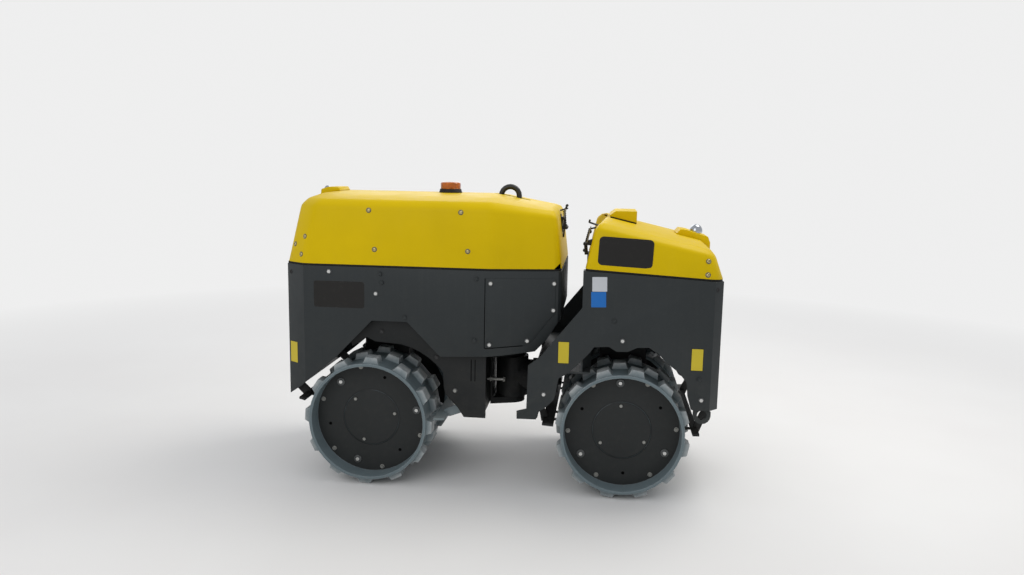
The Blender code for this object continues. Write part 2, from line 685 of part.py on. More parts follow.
def front_tub():
    wall = SIDE_PLATE
    side, end = FRONT_HALF_WIDTH, FRONT_END
    turned = wall * 0.4142
    band = [(0.09, side), (end - FRONT_CHAMFER, side), (end, side - FRONT_CHAMFER)]
    band += [(x, -y) for x, y in reversed(band)]
    inner = [(0.09, side - wall), (end - FRONT_CHAMFER - turned, side - wall), (end - wall, side - FRONT_CHAMFER - turned)]
    inner += [(x, -y) for x, y in reversed(inner)]
    tall = 1.0
    profile = [(FRONT_FACE, tall)] + FRONT_SIDE[1:-2] + [(end + 0.01, 0.409), (end + 0.01, tall)]
    made = keep(prism(band + inner[::-1], "z", 0.30, tall + 0.1), prism(profile, "y", -WIDE, WIDE))
    face = [(FRONT_FACE, side - wall / 2), (FRONT_FACE, RECESS_EDGE_Y), (FRONT_FACE + FACE_RECESS, RECESS_Y)]
    face += [(x, -y) for x, y in reversed(face)]
    back = [(x + wall, y if abs(y) > RECESS_EDGE_Y else y - 0.004 * (1 if y > 0 else -1)) for x, y in face]
    reach = side - wall / 2
    pieces = [
        prism(face + back[::-1], "z", SHELF_Z + 0.002, tall),
        prism(inset(mirrored(FRONT_PLAN), wall / 2), "z", FRONT_FLOOR, FRONT_FLOOR + FLOOR_PLATE),
        box((WALL_X, FRONT_FACE + FACE_RECESS + 0.006), (-reach, reach), (SHELF_Z, SHELF_Z + wall)),
        box((WALL_X, WALL_X + 0.012), (-reach, reach), (0.340, SHELF_Z + 0.004)),
    ]
    above = prism([(0.0, front_top(0.0)), (1.0, front_top(1.0)), (1.0, 1.2), (0.0, 1.2)], "y", -WIDE, WIDE)
    sleeve_hole = rod("x", 0, SHAFT_Z, SLEEVE_RADIUS + GAP, 0.1, 0.3, 24)
    made = cut(join(made, *pieces), above, sleeve_hole)
    return origin_at(finish_as(made, "front_tub", "grey_panel"), (PIVOT_X, 0, SHAFT_Z))


# Each row is one level. The in_ columns are distances inwards from the half width.
# x_face, recess, in_inner, in_outer, in_side, x_chamfer, x_end, in_end, z_face, z_end
FRONT_HOOD = [
    (0.364, FACE_RECESS, 0.120, 0.058, 0.002, 0.890, FRONT_END, 0.038, 0.982, 0.952),
    (0.402, FACE_RECESS, 0.140, 0.078, 0.022, 0.868, 0.893, 0.056, 1.148, 1.046),
    (0.424, 0.026, 0.170, 0.112, 0.058, 0.848, 0.874, 0.090, 1.168, 1.068),
    (0.446, 0.010, 0.328, 0.258, 0.208, 0.830, 0.856, 0.248, 1.180, 1.086),
]


def front_hood_level(row):
    x_face, recess, in_inner, in_outer, in_side, x_chamfer, x_end, in_end, z_face, z_end = row
    y_inner, y_outer, y_side, y_end = (FRONT_HALF_WIDTH - inwards for inwards in (in_inner, in_outer, in_side, in_end))
    slope = (z_end - z_face) / (x_end - x_face)

    def at(x, y):
        return (x, y, z_face + (x - x_face) * slope)

    half = [at(x_face + recess, y_inner), at(x_face, y_outer), at(x_face + 0.002, y_side),
            at(x_chamfer, y_side), at(x_end, y_end)]
    return soft_level(half, HOOD_CORNER)


def front_hood_levels():
    return soft_levels([front_hood_level(row) for row in FRONT_HOOD], HOOD_ROLL)


def front_rim(x):
    """Height of the front hood's lower edge."""
    x_face, z_face, x_end, z_end = (FRONT_HOOD[0][i] for i in (0, 8, 6, 9))
    return z_face + (x - x_face) * (z_end - z_face) / (x_end - x_face)


LID_HALF = 0.120
LID_X = (0.462, 0.578)
LID_TOP = 1.205
LID_WALL = 0.004


def crown(x):
    """Height of the front hood's crown."""
    return 1.180 - (x - 0.446) * 0.094 / 0.410


LID_HINGE = (LID_X[0], 0.0, crown(LID_X[0]) + 0.006)


def front_hood():
    levels = front_hood_levels()
    levels[0] = [(x, y, z - TRIM) for x, y, z in levels[0]]
    shell = hollow_hood(levels, "front_hood", True)
    shell = cut(shell, prism([(0.3, 0.9), (1.0, 0.9), (1.0, front_rim(1.0)), (0.3, front_rim(0.3))], "y", -WIDE, WIDE))
    shell = strapped(shell, FRONT_HINGE, 1, 0.017)
    return origin_at(smooth(finish_as(shell, "front_hood", "yellow_hood"), 30), FRONT_HINGE)


def front_hood_seal():
    """The rubber strip between the front tub and its hood."""
    plan = [(x, y) for x, y, _ in front_hood_level(FRONT_HOOD[0])]
    ring = cut(prism(inset(plan, SEAL_IN), "z", 0.9, 1.0), prism(inset(plan, SEAL_IN + SEAL_WIDTH), "z", 0.8, 1.1))
    ends = (FRONT_FACE - 0.1, FRONT_END + 0.1)
    strip = [(x, front_top(x) + GAP) for x in ends] + [(x, front_rim(x) - GAP) for x in reversed(ends)]
    return finish_as(keep(ring, prism(strip, "y", -WIDE, WIDE)), "front_hood_seal", "hose_rubber")


def control_lid():
    outline = [(LID_X[0], crown(LID_X[0]) + GAP), (LID_X[1], crown(LID_X[1]) + GAP), (LID_X[1], LID_TOP),
               (LID_X[0] + 0.024, LID_TOP), (LID_X[0], LID_TOP - 0.017)]
    made = prism(outline, "y", -LID_HALF, LID_HALF)
    room = prism(inset(outline, LID_WALL), "y", -LID_HALF + LID_WALL, LID_HALF - LID_WALL)
    below = prism([(x, z - 2 * LID_WALL) for x, z in inset(outline, LID_WALL)], "y",
                  -LID_HALF + LID_WALL, LID_HALF - LID_WALL)
    made = finish_as(cut(made, join(room, below)), "control_lid", "yellow_hood")
    return origin_at(made, LID_HINGE)


def receiver_pod():
    outline = [(0.756, 1.06), (0.756, crown(0.756) + 0.004), (0.772, 1.130), (0.800, 1.127), (0.892, 1.100),
               (0.902, 1.075), (0.902, 1.02)]
    pod = seated(prism(outline, "y", -0.080, 0.080), front_hood_levels(), True)
    x = 0.847
    sides = 20
    rings = [(0.028, 1.1145), (0.0275, 1.128), (0.022, 1.142), (0.010, 1.150)]
    seat = rod("z", x, 0, 0.0285, 1.112, 1.2, sides)
    made = cut(pod, seat)
    origin_at(finish_as(made, "receiver_pod", "yellow_hood"), FRONT_HINGE)
    levels = [[(u, v, z) for u, v in circle(x, 0, r, sides)] for r, z in rings]
    levels[0] = [(u, v, 1.112 + GAP) for u, v in circle(x, 0, 0.028, sides)]
    origin_at(smooth(loft(levels, "receiver_dome", "chrome")), FRONT_HINGE)


def control_panel():
    """The panel under the control lid, with a few raised keys."""
    ends = (LID_X[0] + 2 * LID_WALL, LID_X[1] - 2 * LID_WALL)
    high = 0.006
    half = LID_HALF - 2 * LID_WALL
    plate = prism([(ends[0], crown(ends[0]) + GAP), (ends[1], crown(ends[1]) + GAP),
                   (ends[1], crown(ends[1]) + high), (ends[0], crown(ends[0]) + high)], "y", -half, half)
    keys = []
    for x in (0.495, 0.540):
        for y in (-0.075, -0.025, 0.025, 0.075):
            keys.append(rod("z", x, y, 0.009, crown(x) + high / 2, crown(x) + high + 0.005, 12))
    made = finish_as(join(plate, *keys), "control_panel", "black_plastic")
    return origin_at(made, FRONT_HINGE)


# name, outward direction, foot (x, z), head (x, z) of the hood's facing wall, reach, hinge
CATCHES = [
    ("engine_hood_catch", 1, (0.2490, 1.100), (0.2388, 1.180), 0.026, REAR_HINGE),
    ("front_hood_catch", -1, (0.4090, 1.030), (0.4270, 1.110), 0.056, FRONT_HINGE),
]


def hood_catches():
    """Black pull-down catches on the walls that face the joint."""
    for name, out, foot, head, reach, hinge in CATCHES:
        levels = rear_hood_levels() if out > 0 else front_hood_levels()
        plate = prism([(foot[0] + out * 0.003, foot[1]), (head[0] + out * 0.003, head[1]),
                       (head[0] - out * 0.02, head[1]), (foot[0] - out * 0.02, foot[1])], "y", -0.030, 0.030)
        body = prism([(foot[0] - out * 0.02, foot[1] + 0.010), (foot[0] + out * (reach - 0.008), foot[1] + 0.012),
                      (foot[0] + out * (reach - 0.004), foot[1] + 0.030), (head[0] + out * 0.014, head[1] - 0.030),
                      (head[0] + out * 0.018, head[1] - 0.012), (head[0] - out * 0.02, head[1] - 0.010)],
                     "y", -0.012, 0.012)
        grip = rod("y", foot[0] + out * (reach - 0.007), foot[1] + 0.020, 0.007, -0.036, 0.036, 12)
        hook = rod("y", head[0] + out * 0.016, head[1] - 0.020, 0.006, -0.024, 0.024, 12)
        made = seated(join(plate, body, grip, hook), levels, out < 0, (out * GAP, GAP))
        origin_at(smooth(finish_as(made, name, "black_steel"), 40), hinge)


def tie_down_eyes():
    for name, side in (("left", 1), ("right", -1)):
        inner = FRONT_HALF_WIDTH - SIDE_PLATE - GAP
        low, high = sorted((side * inner, side * (inner - 0.014)))
        outline = [(0.830, 0.460), (0.828, 0.385)] + arc(0.864, 0.385, 0.036, 180, 360, 8)
        outline += [(0.900, 0.402), (0.880, 0.406), (0.878, 0.460)]
        plate = prism(outline, "y", low, high)
        hole = prism(circle(0.864, 0.387, 0.020, 16), "y", -WIDE, WIDE)
        finish_as(cut(plate, hole), f"tie_down_eye_{name}", "grey_panel")


# Centre joint
def centre_joint():
    low = YOKE_LOW + YOKE_PLATE + GAP
    high = YOKE_HIGH - YOKE_PLATE - 0.002
    body = rod("z", PIVOT_X, 0, BLOCK_RADIUS, low, high, 24)
    nose = rod("x", 0, SHAFT_Z, 0.070, PIVOT_X + 0.02, 0.128, 24)
    shaft = rod("x", 0, SHAFT_Z, SHAFT_RADIUS, 0.12, 0.262, 24)
    arm = prism([(PIVOT_X - 0.030, 0.02), (PIVOT_X + 0.030, 0.02), (PIVOT_X + 0.024, ARM_REACH + 0.024),
                 (PIVOT_X - 0.024, ARM_REACH + 0.024)], "z", CYLINDER_Z - 0.042, CYLINDER_Z - 0.020)
    bore = rod("z", PIVOT_X, 0, PIN_RADIUS + RUN, 0, 1, 20)
    made = cut(join(body, nose, shaft, arm), bore)
    origin_at(smooth(finish_as(made, "pivot_block", "dark_frame")), (PIVOT_X, 0, SHAFT_Z))
    sleeve = rod("x", 0, SHAFT_Z, SLEEVE_RADIUS, 0.128 + RUN, 0.246, 24)
    plate = box((WALL_X - 0.012 - GAP, WALL_X - GAP), (-0.115, 0.115), (0.345, 0.530))
    hollow = rod("x", 0, SHAFT_Z, SHAFT_RADIUS + RUN, 0, 1, 24)
    made = cut(join(sleeve, plate), hollow)
    origin_at(smooth(finish_as(made, "oscillation_bearing", "dark_frame")), (PIVOT_X, 0, SHAFT_Z))


# Steering cylinder
def steering_cylinder():
    eye = (PIVOT_X, ARM_REACH)
    base = (BARREL_X, BARREL_Y)
    length = hypot(eye[0] - base[0], eye[1] - base[1])
    angle = atan2(eye[1] - base[1], eye[0] - base[0])
    z = CYLINDER_Z

    def along(made, name, finish):
        turn = Matrix.Translation((*base, z)) @ Matrix.Rotation(angle, 4, "Z")
        made.data.transform(turn)
        return origin_at(smooth(finish_as(made, name, finish)), (*base, z))

    eye_half = 0.016
    pin = 0.012
    barrel = rod("x", 0, 0, BARREL_RADIUS, 0.020, 0.165, 20)
    ear = rod("z", 0, 0, 0.026, -eye_half, eye_half, 16)
    bore = rod("z", 0, 0, pin + RUN, -0.1, 0.1, 16)
    hollow = rod("x", 0, 0, ROD_RADIUS + RUN, 0.034, 0.300, 16)
    along(cut(join(barrel, ear), bore, hollow), "steering_barrel", "black_steel")
    stem = rod("x", 0, 0, ROD_RADIUS, 0.095, length, 16)
    eye_ring = rod("z", length, 0, 0.024, -eye_half, eye_half, 16)
    along(join(stem, eye_ring), "steering_rod", "zinc")
    plate_low = z + 0.030
    plate = box((BARREL_X - 0.028, -0.110 - GAP), (BARREL_Y - 0.028, BARREL_Y + 0.028), (plate_low, plate_low + 0.012))
    peg = rod("z", BARREL_X, BARREL_Y, pin, z - eye_half, plate_low + 0.004, 16)
    rest = rod("z", BARREL_X, BARREL_Y, 0.018, z + eye_half + 0.001, plate_low + 0.004, 16)
    smooth(finish_as(join(plate, peg, rest), "cylinder_bracket", "dark_frame"))


def build():
    drum("rear", REAR_DRUM_X, REAR_DRUM_TURN)
    drum("front", FRONT_DRUM_X, FRONT_DRUM_TURN)
    drum_carrier("rear", REAR_DRUM_X, REAR_FLOOR - GAP)
    drum_carrier("front", FRONT_DRUM_X, FRONT_FLOOR - GAP)
    rear_tub()
    rear_frame()
    yoke()
    engine()
    lifting_eye()
    access_panels()
    rear_hood()
    rear_hood_seal()
    hood_hinges()
    beacon()
    rear_receiver()
    front_tub()
    front_hood()
    front_hood_seal()
    control_lid()
    control_panel()
    receiver_pod()
    hood_catches()
    tie_down_eyes()
    centre_joint()
    steering_cylinder()
    scraper("rear_scraper_inner", REAR_DRUM_X, 1, 4, 0.055, -0.110 - GAP, 0.360, "drum_steel")
    scraper("rear_scraper_outer", REAR_DRUM_X, -1, 16, 0.034, REAR_END + TUB_WALL + GAP, 0.440, "dark_frame")
    scraper("front_scraper_inner", FRONT_DRUM_X, -1, 4, 0.055, WALL_X + 0.012 + GAP, 0.380, "dark_frame")
    scraper("front_scraper_outer", FRONT_DRUM_X, 1, 2, 0.034, FRONT_END - SIDE_PLATE - GAP, 0.450, "dark_frame")


build()
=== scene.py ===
import json
from math import cos, pi, radians, sin

import bmesh
import bpy
from mathutils import Matrix, Vector
from mathutils.bvhtree import BVHTree

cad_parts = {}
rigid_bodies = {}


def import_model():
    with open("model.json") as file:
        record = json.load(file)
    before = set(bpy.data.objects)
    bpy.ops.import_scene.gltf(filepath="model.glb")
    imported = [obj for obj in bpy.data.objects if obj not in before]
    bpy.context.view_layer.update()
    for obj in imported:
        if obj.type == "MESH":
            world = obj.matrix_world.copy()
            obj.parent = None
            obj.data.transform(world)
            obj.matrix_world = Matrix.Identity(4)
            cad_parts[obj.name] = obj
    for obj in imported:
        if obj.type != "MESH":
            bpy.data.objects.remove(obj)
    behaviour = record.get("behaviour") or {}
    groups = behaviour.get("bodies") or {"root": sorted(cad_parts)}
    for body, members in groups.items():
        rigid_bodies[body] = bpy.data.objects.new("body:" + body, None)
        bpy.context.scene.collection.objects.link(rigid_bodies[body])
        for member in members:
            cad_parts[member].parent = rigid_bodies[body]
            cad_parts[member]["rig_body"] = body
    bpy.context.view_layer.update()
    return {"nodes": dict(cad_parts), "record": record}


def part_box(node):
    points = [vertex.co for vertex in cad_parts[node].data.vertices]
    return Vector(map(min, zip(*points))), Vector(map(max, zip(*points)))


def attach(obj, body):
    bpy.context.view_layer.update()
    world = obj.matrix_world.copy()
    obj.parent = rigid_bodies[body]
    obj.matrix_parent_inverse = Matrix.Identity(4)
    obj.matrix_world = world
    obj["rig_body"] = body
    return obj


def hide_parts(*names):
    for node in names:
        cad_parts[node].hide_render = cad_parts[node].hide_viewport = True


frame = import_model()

NODES = frame["nodes"]
SIDES = {-1: "right", 1: "left"}

# Drums: places taken from the frame, the end disc, and the turn of its bolt pattern in degrees
REAR_LOW, REAR_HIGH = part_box("rear_drum_left")
FRONT_LOW, FRONT_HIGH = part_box("front_drum_left")
REAR_AXLE = Vector(((REAR_LOW.x + REAR_HIGH.x) / 2, 0, (REAR_LOW.z + REAR_HIGH.z) / 2))
FRONT_AXLE = Vector(((FRONT_LOW.x + FRONT_HIGH.x) / 2, 0, (FRONT_LOW.z + FRONT_HIGH.z) / 2))
DRUM_EDGE = REAR_HIGH.y
DISC_RECESS = 0.078
DISC_RADIUS = 0.2455
REAR_TURN = 41.7
FRONT_TURN = 3.6


# Node helpers
class Tree:
    """A short way to write a material's nodes."""

    def __init__(self, name):
        self.material = bpy.data.materials.new(name)
        self.material.use_nodes = True
        self.tree = self.material.node_tree
        self.shader = self.tree.nodes["Principled BSDF"]

    def set(self, **values):
        """Constants on the shader's own sockets, with _ for each space in a socket's name."""
        for name, value in values.items():
            self.shader.inputs[name.replace("_", " ")].default_value = value

    def finished(self, colour):
        self.link(colour, self.shader.inputs["Base Color"])
        return self.material

    def node(self, kind, **settings):
        made = self.tree.nodes.new("ShaderNode" + kind)
        for key, value in settings.items():
            setattr(made, key, value)
        return made

    def link(self, source, target):
        self.tree.links.new(source, target)

    def place(self):
        return self.node("TexCoord").outputs["Object"]

    def normal(self):
        return self.node("TexCoord").outputs["Normal"]

    def noise(self, scale, detail, roughness=0.55, stretch=None):
        place = self.place()
        if stretch:
            mapping = self.node("Mapping")
            mapping.inputs["Scale"].default_value = stretch
            self.link(place, mapping.inputs["Vector"])
            place = mapping.outputs["Vector"]
        made = self.node("TexNoise")
        made.inputs["Scale"].default_value = scale
        made.inputs["Detail"].default_value = detail
        made.inputs["Roughness"].default_value = roughness
        self.link(place, made.inputs["Vector"])
        return made.outputs["Fac"]

    def remap(self, value, low, high, to_low=0.0, to_high=1.0):
        made = self.node("MapRange")
        made.inputs["From Min"].default_value = low
        made.inputs["From Max"].default_value = high
        made.inputs["To Min"].default_value = to_low
        made.inputs["To Max"].default_value = to_high
        self.link(value, made.inputs["Value"])
        return made.outputs["Result"]

    def pattern(self, row, to_low=0.0, to_high=1.0, stretch=None):
        """A noise from the list of patterns, spread over 0 to 1 or over another range."""
        scale, detail, roughness, low, high = row
        return self.remap(self.noise(scale, detail, roughness, stretch), low, high, to_low, to_high)

    def math(self, operation, a, b=0.0):
        made = self.node("Math", operation=operation)
        for i, value in enumerate((a, b)):
            if isinstance(value, (int, float)):
                made.inputs[i].default_value = value
            else:
                self.link(value, made.inputs[i])
        return made.outputs[0]

    def times(self, a, b):
        return self.math("MULTIPLY", a, b)

    def plus(self, a, b):
        return self.math("ADD", a, b)

    def mix(self, factor, a, b):
        made = self.node("Mix", data_type="RGBA")
        self.link(factor, made.inputs["Factor"])
        for name, value in (("A", a), ("B", b)):
            socket = next(s for s in made.inputs if s.name == name and s.type == "RGBA")
            if isinstance(value, tuple):
                socket.default_value = (*value, 1.0)
            else:
                self.link(value, socket)
        return next(s for s in made.outputs if s.type == "RGBA")

    def axes(self, vector):
        split = self.node("SeparateXYZ")
        self.link(vector, split.inputs["Vector"])
        return split.outputs["X"], split.outputs["Y"], split.outputs["Z"]

    def edges(self, radius):
        """Near 1 on a sharp edge, 0 on a flat: how far a bevelled normal leans from the true one."""
        bevel = self.node("Bevel", samples=4)
        bevel.inputs["Radius"].default_value = radius
        dot = self.node("VectorMath", operation="DOT_PRODUCT")
        self.link(bevel.outputs["Normal"], dot.inputs[0])
        self.link(self.node("NewGeometry").outputs["Normal"], dot.inputs[1])
        return self.remap(dot.outputs["Value"], *LEANING)

    def upward(self):
        """1 on faces that look up when the machine is at rest."""
        return self.remap(self.axes(self.normal())[2], *LOOKING_UP)

    def near_ground(self):
        return self.remap(self.axes(self.place())[2], *SOIL_HEIGHTS)

    def from_axle(self, axle):
        """Distance from a drum's axle, and how far the face looks outwards along it."""
        x, _, z = self.axes(self.place())
        dx = self.math("SUBTRACT", x, axle.x)
        dz = self.math("SUBTRACT", z, axle.z)
        square = self.plus(self.times(dx, dx), self.times(dz, dz))
        facing = self.math("ABSOLUTE", self.axes(self.normal())[1])
        return self.math("SQRT", square), facing

    def bump(self, height, distance, strength=1.0):
        made = self.node("Bump")
        made.inputs["Strength"].default_value = strength
        made.inputs["Distance"].default_value = distance
        self.link(height, made.inputs["Height"])
        self.link(made.outputs["Normal"], self.shader.inputs["Normal"])


# Noise patterns: scale, detail, roughness, and the noise's values that become 0 and 1
DRIFT = (2.6, 3.0, 0.55, 0.3, 0.7)
SPECKS = (38.0, 6.0, 0.7, 0.55, 0.75)
SETTLED = (9.0, 5.0, 0.55, 0.35, 0.75)
RUNS = (7.0, 4.0, 0.6, 0.52, 0.78)
SPLASHES = (14.0, 6.0, 0.65, 0.38, 0.72)
CHIPS = (60.0, 5.0, 0.7, 0.50, 0.62)
SHEEN = (12.0, 5.0, 0.55, 0.3, 0.7)
TREAD_WEAR = (26.0, 6.0, 0.65, 0.30, 0.66)
SCUFFS = (45.0, 5.0, 0.7, 0.36, 0.56)
RUBBING = (60.0, 6.0, 0.75, 0.58, 0.72)
PATCHES = (6.0, 5.0, 0.6, 0.35, 0.7)
FILM = (30.0, 6.0, 0.7, 0.5, 0.8)
MOTTLE = (0.8, 3.0, 0.55, 0.3, 0.7)

# Values that become 0 and 1: cosine of a bevelled normal's lean, upward normal, height, outward normal
LEANING = (0.995, 0.90)
LOOKING_UP = (0.3, 0.95)
SOIL_HEIGHTS = (0.75, 0.25)
LOOKING_OUT = (0.5, 0.9)

# Paint: its darkest and brightest share of the colour, and the strength and width of its layers
DARKEST, BRIGHTEST = 0.92, 1.03
GRAIN_DETAIL = 2.0
RUN_STRETCH = (6.0, 6.0, 0.35)
SPECK_SHARE = 0.35
CHIP_WIDTH = 0.002
SHEEN_DOWN, SHEEN_UP = 0.04, 0.07
DUST_ROUGHNESS = 0.5
DUST = (0.36, 0.33, 0.27)


def shade(colour, share):
    return tuple(min(1.0, c * share) for c in colour)


def paint_layers(name, colour, roughness, dust=0.10, wear=0.2, worn=(0.10, 0.10, 0.10), grain=900.0,
                 depth=0.00005, metallic=0.0, soil=0.0, streaks=0.0, gloss=0.25):
    """Paint with slow colour drift, dust on upward faces and near the ground, worn edges and a fine grain.

    Gives the tree and its colour, which isn't joined to the shader yet.
    """
    t = Tree(name)
    base = t.mix(t.pattern(DRIFT), shade(colour, DARKEST), shade(colour, BRIGHTEST))
    speck = t.pattern(SPECKS)
    settle = t.times(t.upward(), t.pattern(SETTLED))
    amount = t.times(t.plus(settle, t.times(speck, SPECK_SHARE)), dust)
    if streaks:
        amount = t.plus(amount, t.times(t.pattern(RUNS, stretch=RUN_STRETCH), streaks))
    if soil:
        amount = t.plus(amount, t.times(t.times(t.near_ground(), t.pattern(SPLASHES)), soil))
    base = t.mix(amount, base, DUST)
    if wear:
        chips = t.times(t.edges(CHIP_WIDTH), t.pattern(CHIPS))
        base = t.mix(t.times(chips, wear), base, worn)
    rough = t.pattern(SHEEN, roughness - SHEEN_DOWN, roughness + SHEEN_UP)
    t.link(t.plus(rough, t.times(amount, DUST_ROUGHNESS)), t.shader.inputs["Roughness"])
    t.set(Metallic=metallic, Specular_IOR_Level=gloss)
    t.bump(t.noise(grain, GRAIN_DETAIL), depth)
    return t, base


def painted(name, colour, roughness, **look):
    """The layers of paint and nothing more."""
    t, base = paint_layers(name, colour, roughness, **look)
    return t.finished(base)


# Drum paint: roughness, colours, the strength of each layer, the width of scuffed edges, and radii that
# become 0 and 1, or the two ends of the range that stands under them
DRUM_ROUGHNESS = 0.46
DRUM_COLOUR = (0.133, 0.171, 0.186)
DRUM_DUSTY = (0.47, 0.485, 0.48)
DRUM_SCUFFED = (0.60, 0.61, 0.60)
DRUM_RUBBED = (0.30, 0.30, 0.28)
# The end disc inside the rim is painted dark: painted shade of the recess it sits in
DISC_SHADE_COLOUR = (0.018, 0.020, 0.020)
DISC_PALER = 1.15
RING_COLOUR = (0.010, 0.011, 0.011)
TREAD_SHARE = 0.85
RUBBED_SHARE = 0.35
FILM_SHARE = 0.02
RING_SHARE = 0.55
SCUFF_WIDTH = 0.004
TREAD_RADII = (0.258, 0.283)
TREAD_RANGE = (0.25, 1.0)
LUG_RADII = (0.250, 0.262)
LUG_RANGE = (0.35, 0.9)
DISC_SEAM = 0.0005
DISC_RADII = (DISC_RADIUS + DISC_SEAM, DISC_RADIUS - DISC_SEAM)
RING_INNER = (0.1195, 0.1215)
RING_OUTER = (0.1305, 0.1285)


def drum_paint(name, axle):
    """Blue-grey paint, rubbed pale on the lugs, with the end disc inside the rim painted dark as the shade of
    its recess.
    """
    t, base = paint_layers(name, DRUM_COLOUR, DRUM_ROUGHNESS, dust=0.0, wear=0.0)
    radius, facing = t.from_axle(axle)
    tread = t.times(t.remap(radius, *TREAD_RADII), t.pattern(TREAD_WEAR, *TREAD_RANGE))
    base = t.mix(t.times(tread, TREAD_SHARE), base, DRUM_DUSTY)
    scuffs = t.times(t.edges(SCUFF_WIDTH), t.pattern(SCUFFS))
    on_lugs = t.remap(radius, *LUG_RADII, *LUG_RANGE)
    base = t.mix(t.times(scuffs, on_lugs), base, DRUM_SCUFFED)
    base = t.mix(t.times(t.pattern(RUBBING), RUBBED_SHARE), base, DRUM_RUBBED)
    # The end disc's faces get the painted shade: dark, with paler patches, a dust film and a darker ring
    inside = t.times(t.remap(radius, *DISC_RADII), t.remap(facing, *LOOKING_OUT))
    disc = t.mix(t.pattern(PATCHES), DISC_SHADE_COLOUR, shade(DISC_SHADE_COLOUR, DISC_PALER))
    disc = t.mix(t.times(t.pattern(FILM), FILM_SHARE), disc, DUST)
    ring = t.times(t.remap(radius, *RING_INNER), t.remap(radius, *RING_OUTER))
    disc = t.mix(t.times(ring, RING_SHARE), disc, RING_COLOUR)
    return t.finished(t.mix(inside, base, disc))


# Clear plastic: scale of its ripple, the noise's values that become 0 and 1, depth and strength of the bump,
# the darker share of the colour, and how much rougher it gets
RIPPLE_SCALE = 60.0
RIPPLE_RANGE = (0.3, 0.7)
RIPPLE_DEPTH, RIPPLE_STRENGTH = 0.0004, 0.5
RIPPLE_SHADE = 0.55
RIPPLE_ROUGHER = 0.08


def glassy(name, colour, roughness):
    """Moulded clear plastic with a faint ripple."""
    t = Tree(name)
    ripple = t.noise(RIPPLE_SCALE, GRAIN_DETAIL)
    base = t.mix(t.remap(ripple, *RIPPLE_RANGE), colour, shade(colour, RIPPLE_SHADE))
    rough = t.remap(ripple, *RIPPLE_RANGE, roughness, roughness + RIPPLE_ROUGHER)
    t.link(rough, t.shader.inputs["Roughness"])
    t.set(Transmission_Weight=0.25, IOR=1.40, Coat_Weight=0.2, Coat_Roughness=0.05)
    t.bump(ripple, RIPPLE_DEPTH, RIPPLE_STRENGTH)
    return t.finished(base)


STICKER_PALER = 0.15


def sticker(name, colour):
    """A blank plate: even colour, slightly scuffed."""
    scuffed = tuple(min(1.0, c + STICKER_PALER) for c in colour)
    return painted(name, colour, 0.38, dust=0.05, wear=0.3, worn=scuffed, grain=400.0, depth=0.00002)


